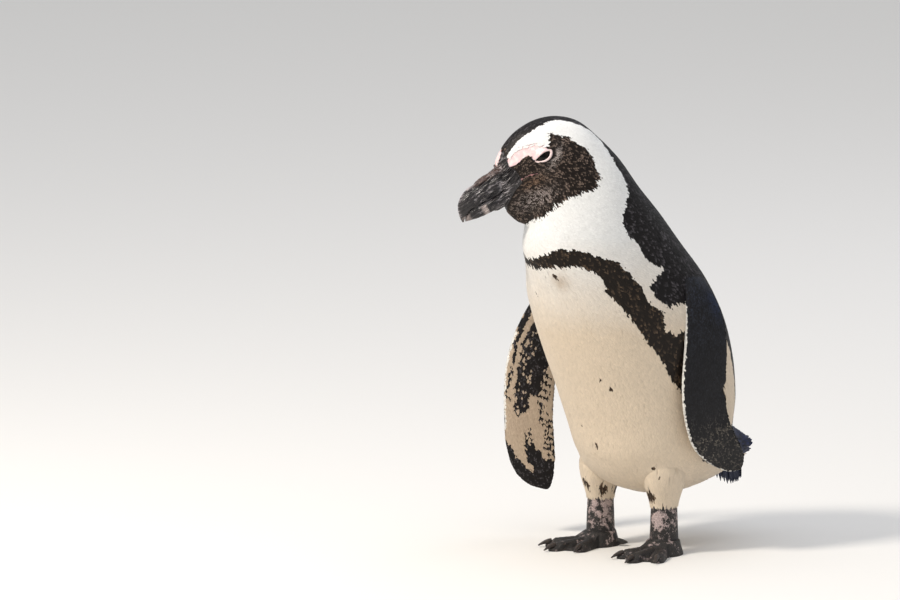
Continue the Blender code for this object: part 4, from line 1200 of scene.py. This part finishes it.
def stiff_feather(root, along, up, length, width, seed):
    """Vertices and faces of one long closed vane with a raised shaft and a narrowing point."""
    aside = np.cross(along, up)
    rings = []
    for s in np.linspace(0, 1, 22):
        half = width / 2 * min(1, 0.45 + 2.2 * s) * (1 - max(0, (s - 0.62) / 0.38)**2.2 * 0.92)
        half *= 1 + 0.10 * noise.noise((s * 16, seed, 0.3))
        shaft = 0.0005 * (1 - 0.8 * s)
        centre = root + along * length * s - up * 0.004 * s**2
        across = np.linspace(-1, 1, 7)
        top = [centre + aside * half * k + up * (0.00035 * (1 - k * k) + shaft * max(0, 1 - abs(k) * 5))
               for k in across]
        bottom = [centre + aside * half * k - up * 0.00012 for k in across[::-1]]
        rings.append(top + bottom)
    return loft(rings)


# Feather keratin, blue-black and smooth: a long soft gleam down each vane.
tail_vane, tree, shader = material("stiff_tail_feather")
grain = node(tree, "ShaderNodeTexNoise", {"Vector": node(tree, "ShaderNodeTexCoord").outputs["Object"],
                                          "Scale": 420.0, "Detail": 3.0})
ramp = node(tree, "ShaderNodeValToRGB", {"Fac": grain.outputs["Fac"]})
ramp.color_ramp.elements[0].color = paint("#15171d")
ramp.color_ramp.elements[1].color = paint("#2d3340")
tree.links.new(ramp.outputs["Color"], shader.inputs["Base Color"])
shader.inputs["Roughness"].default_value = 0.42
shader.inputs["Specular Tint"].default_value = paint("#b9c8ff")
tail_down = np.array([0.0, cos(TAIL_DROP), -sin(TAIL_DROP)])
tail_up = np.array([0.0, sin(TAIL_DROP), cos(TAIL_DROP)])
for layer, (count, lift) in TAIL_FEATHERS.items():
    vertices, faces = [], []
    for k in range(count):
        lateral = -1 + 2 * k / (count - 1)
        swing = TAIL_SPREAD * lateral
        along = tail_down * cos(swing) + np.array([sin(swing), 0, 0])
        root = (np.array(TAIL_ROOT) + ankles + np.array([TAIL_ROOT_HALF * lateral, 0, 0])
                - tail_down * TAIL_SEATED
                + tail_up * (lift + 0.0007 * (k % 2) - 0.002 * lateral**2))
        length = TAIL_SEATED + TAIL_LENGTH * (0.98 - 0.20 * lateral**2 - 0.03 * random.random())
        points, ring_faces = stiff_feather(root, along, tail_up, length, TAIL_FEATHER_WIDTH,
                                           k + 0.37 * count)
        faces += [[v + len(vertices) for v in face] for face in outward(ring_faces, points)]
        vertices += points.tolist()
    fan = piece("tail_" + layer, vertices, faces)
    fan.data.materials.append(tail_vane)
    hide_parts("tail")

# ------------------------------------------------------------------------- eyes and lids
# Wet dark balls set deep in the head, each looking through a slit in the skin.  A thick rim of
# bare pale skin edges the slit, folded in against the ball and broadest behind and below.
LID_RINGS = [(0.0, 0.0), (0.06, 0.60), (0.22, 0.95), (0.5, 1.0), (0.8, 0.7), (1.0, -0.1)]
LID_WIDTHS = [(0, 0.0010), (60, 0.0006), (110, 0.0006), (150, 0.0014), (180, 0.0024), (225, 0.0025),
              (270, 0.0022), (320, 0.0018), (360, 0.0010)]       # by turn from the front corner
LID_SWELL = 0.0008
GAZE = unit(np.array([0.88, 0.33, 0.33]))      # outward, forward and up


def eyeball(name, side):
    """The ball with a slightly bulging clear front over the iris."""
    turns, rises = np.linspace(0, tau, 64, endpoint=False), np.linspace(0.02, pi - 0.02, 48)
    rise, turn = np.meshgrid(rises, turns, indexing="ij")
    bulge = 1 + 0.02 * np.clip(1 - rise / 0.62, 0, 1)**0.6
    radius = (EYE_RADIUS - 0.0001) * bulge
    right = unit(np.cross(GAZE, (0, 0, 1.0)))
    lift = np.cross(right, GAZE)
    ray = (np.cos(rise)[..., None] * GAZE + (np.sin(rise) * np.cos(turn))[..., None] * right
           + (np.sin(rise) * np.sin(turn))[..., None] * lift)
    points = EYE_SEAT + radius[..., None] * ray
    vertices, faces = loft(head_place(points * (side, -1, 1)))
    ball = piece(name + "_ball", vertices, outward(faces, vertices))
    out = ball.data.attributes.new("FromPupil", "FLOAT", "POINT")
    out.data.foreach_set("value", np.sin(rise.ravel()) * EYE_RADIUS * 1000)
    return ball


# Living eye: black pupil in a dark brown iris under a wet clear front, so one sharp glint.
eye_look, tree, shader = material("wet_eye")
out = node(tree, "ShaderNodeAttribute", attribute_name="FromPupil")
reach = node(tree, "ShaderNodeMapRange", {"Value": out.outputs["Fac"], "From Max": 8.0})
iris = node(tree, "ShaderNodeValToRGB", {"Fac": reach.outputs["Result"]})
for position, code in ((0.0, "#030202"), (0.30, "#030202"), (0.34, "#120a07"), (0.52, "#180e09"),
                       (0.60, "#070505"), (1.0, "#120e0c")):
    stop = (iris.color_ramp.elements[0] if position == 0 else iris.color_ramp.elements[-1] if position == 1
            else iris.color_ramp.elements.new(position))
    stop.color = paint(code)
tree.links.new(iris.outputs["Color"], shader.inputs["Base Color"])
shader.inputs["Roughness"].default_value = 0.05
shader.inputs["IOR"].default_value = 1.36
shader.inputs["Specular IOR Level"].default_value = 0.32
# Lid rim: bare, pale pink and soft.
lid_look, tree, shader = material("lid_rim_skin")
pores = node(tree, "ShaderNodeTexNoise", {"Vector": node(tree, "ShaderNodeTexCoord").outputs["Object"],
                                          "Scale": 900.0, "Detail": 3.0})
rim = node(tree, "ShaderNodeValToRGB", {"Fac": pores.outputs["Fac"]})
rim.color_ramp.elements[0].color = paint("#dfb9b4")
rim.color_ramp.elements[1].color = paint("#fbeeec")
tree.links.new(rim.outputs["Color"], shader.inputs["Base Color"])
shader.inputs["Roughness"].default_value = 0.4
for side, word in SIDES.items():
    ball = eyeball("eye_" + word, side)
    ball.data.materials.append(eye_look)
    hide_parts("eye_" + word)
    rings = []
    for turn in np.linspace(0, tau, 120, endpoint=False):
        edge, ahead = slit_edge(turn), slit_edge(turn + 0.03) - slit_edge(turn - 0.03)
        away = unit(np.array([-ahead[1], ahead[0]]))
        away = away if away @ (edge - (SLIT_FORWARD, SLIT_UP)) > 0 else -away
        wide = float(np.interp(np.degrees(turn), *zip(*LID_WIDTHS)))
        ring = []
        for reach, height in LID_RINGS:
            forward, up = edge + away * reach * wide
            on_face = face_side(side, *(edge + away * max(reach * wide, 0.0009)))
            on_ball = float(ball_side(forward, up))
            swell = LID_SWELL * height * min(1, 0.3 + (wide / 0.0024)**2)
            level = on_ball + 0.0001 if reach == 0 else max(on_face - 0.0003, on_ball) + swell
            ring.append(head_place((side * level, -forward, up)))
        back = edge + (np.array((SLIT_FORWARD, SLIT_UP)) - edge) * 0.06
        floor_ring = [head_place((side * (EYE_SEAT[0] + 0.002), -back[0], back[1]))]
        rings.append(ring + floor_ring)
    rings = np.array(rings)
    count, rows = rings.shape[:2]
    faces = [(i * rows + j, ((i + 1) % count) * rows + j, ((i + 1) % count) * rows + (j + 1) % rows,
              i * rows + (j + 1) % rows) for i in range(count) for j in range(rows)]
    vertices = rings.reshape(-1, 3)
    lids = piece("lids_" + word, vertices, outward(faces, vertices))
    lids.data.materials.append(lid_look)

# ------------------------------------------------------------------------- claws
# Blunt curved points of horn, grown over the last bone of each front toe.  Each is set into the
# toe's end, droops forward and is worn a little paler.
CLAW_LENGTH, CLAW_ROOT, CLAW_TIP = 0.0125, 0.0026, 0.0006
CLAW_HEIGHT, CLAW_DROP, CLAW_SEAT = 0.0052, 0.0036, 0.0055
# Horn: black-brown, smooth, mottled paler by wear.
claw_horn, tree, shader = material("claw_horn")
pale_share = node(tree, "ShaderNodeTexNoise", {"Vector": node(tree, "ShaderNodeTexCoord").outputs["Object"],
                                         "Scale": 700.0, "Detail": 3.0})
shade = node(tree, "ShaderNodeValToRGB", {"Fac": pale_share.outputs["Fac"]})
shade.color_ramp.elements[0].color = paint("#171312")
shade.color_ramp.elements[1].color = paint("#4b413c")
tree.links.new(shade.outputs["Color"], shader.inputs["Base Color"])
shader.inputs["Roughness"].default_value = 0.38
for side, word in SIDES.items():
    for digit, (turn, length) in enumerate(TOES, 1):
        line = np.array([*ground_line(side, turn), 0])
        level = np.array([line[1], -line[0], 0])
        angles = np.linspace(0, tau, 20, endpoint=False)
        rings = []
        for s in np.linspace(0, 1, 18):
            tilt = radians(4 + 46 * s)
            up = line * sin(tilt) + np.array([0, 0, cos(tilt)])
            radius = CLAW_ROOT + (CLAW_TIP - CLAW_ROOT) * s**1.4
            rim = 0.86 * np.outer(np.cos(angles), level) + np.outer(np.sin(angles), up)
            centre = line * (length - CLAW_SEAT + CLAW_LENGTH * s) + (0, 0, CLAW_HEIGHT - CLAW_DROP * s**2)
            rings.append(on_foot(side, centre + rim * radius))
        vertices, faces = loft(rings)
        nail = piece(f"nail_{word}_{digit}", vertices, outward(faces, vertices))
        nail.data.materials.append(claw_horn)
        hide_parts(f"claw_{word}_{digit}")
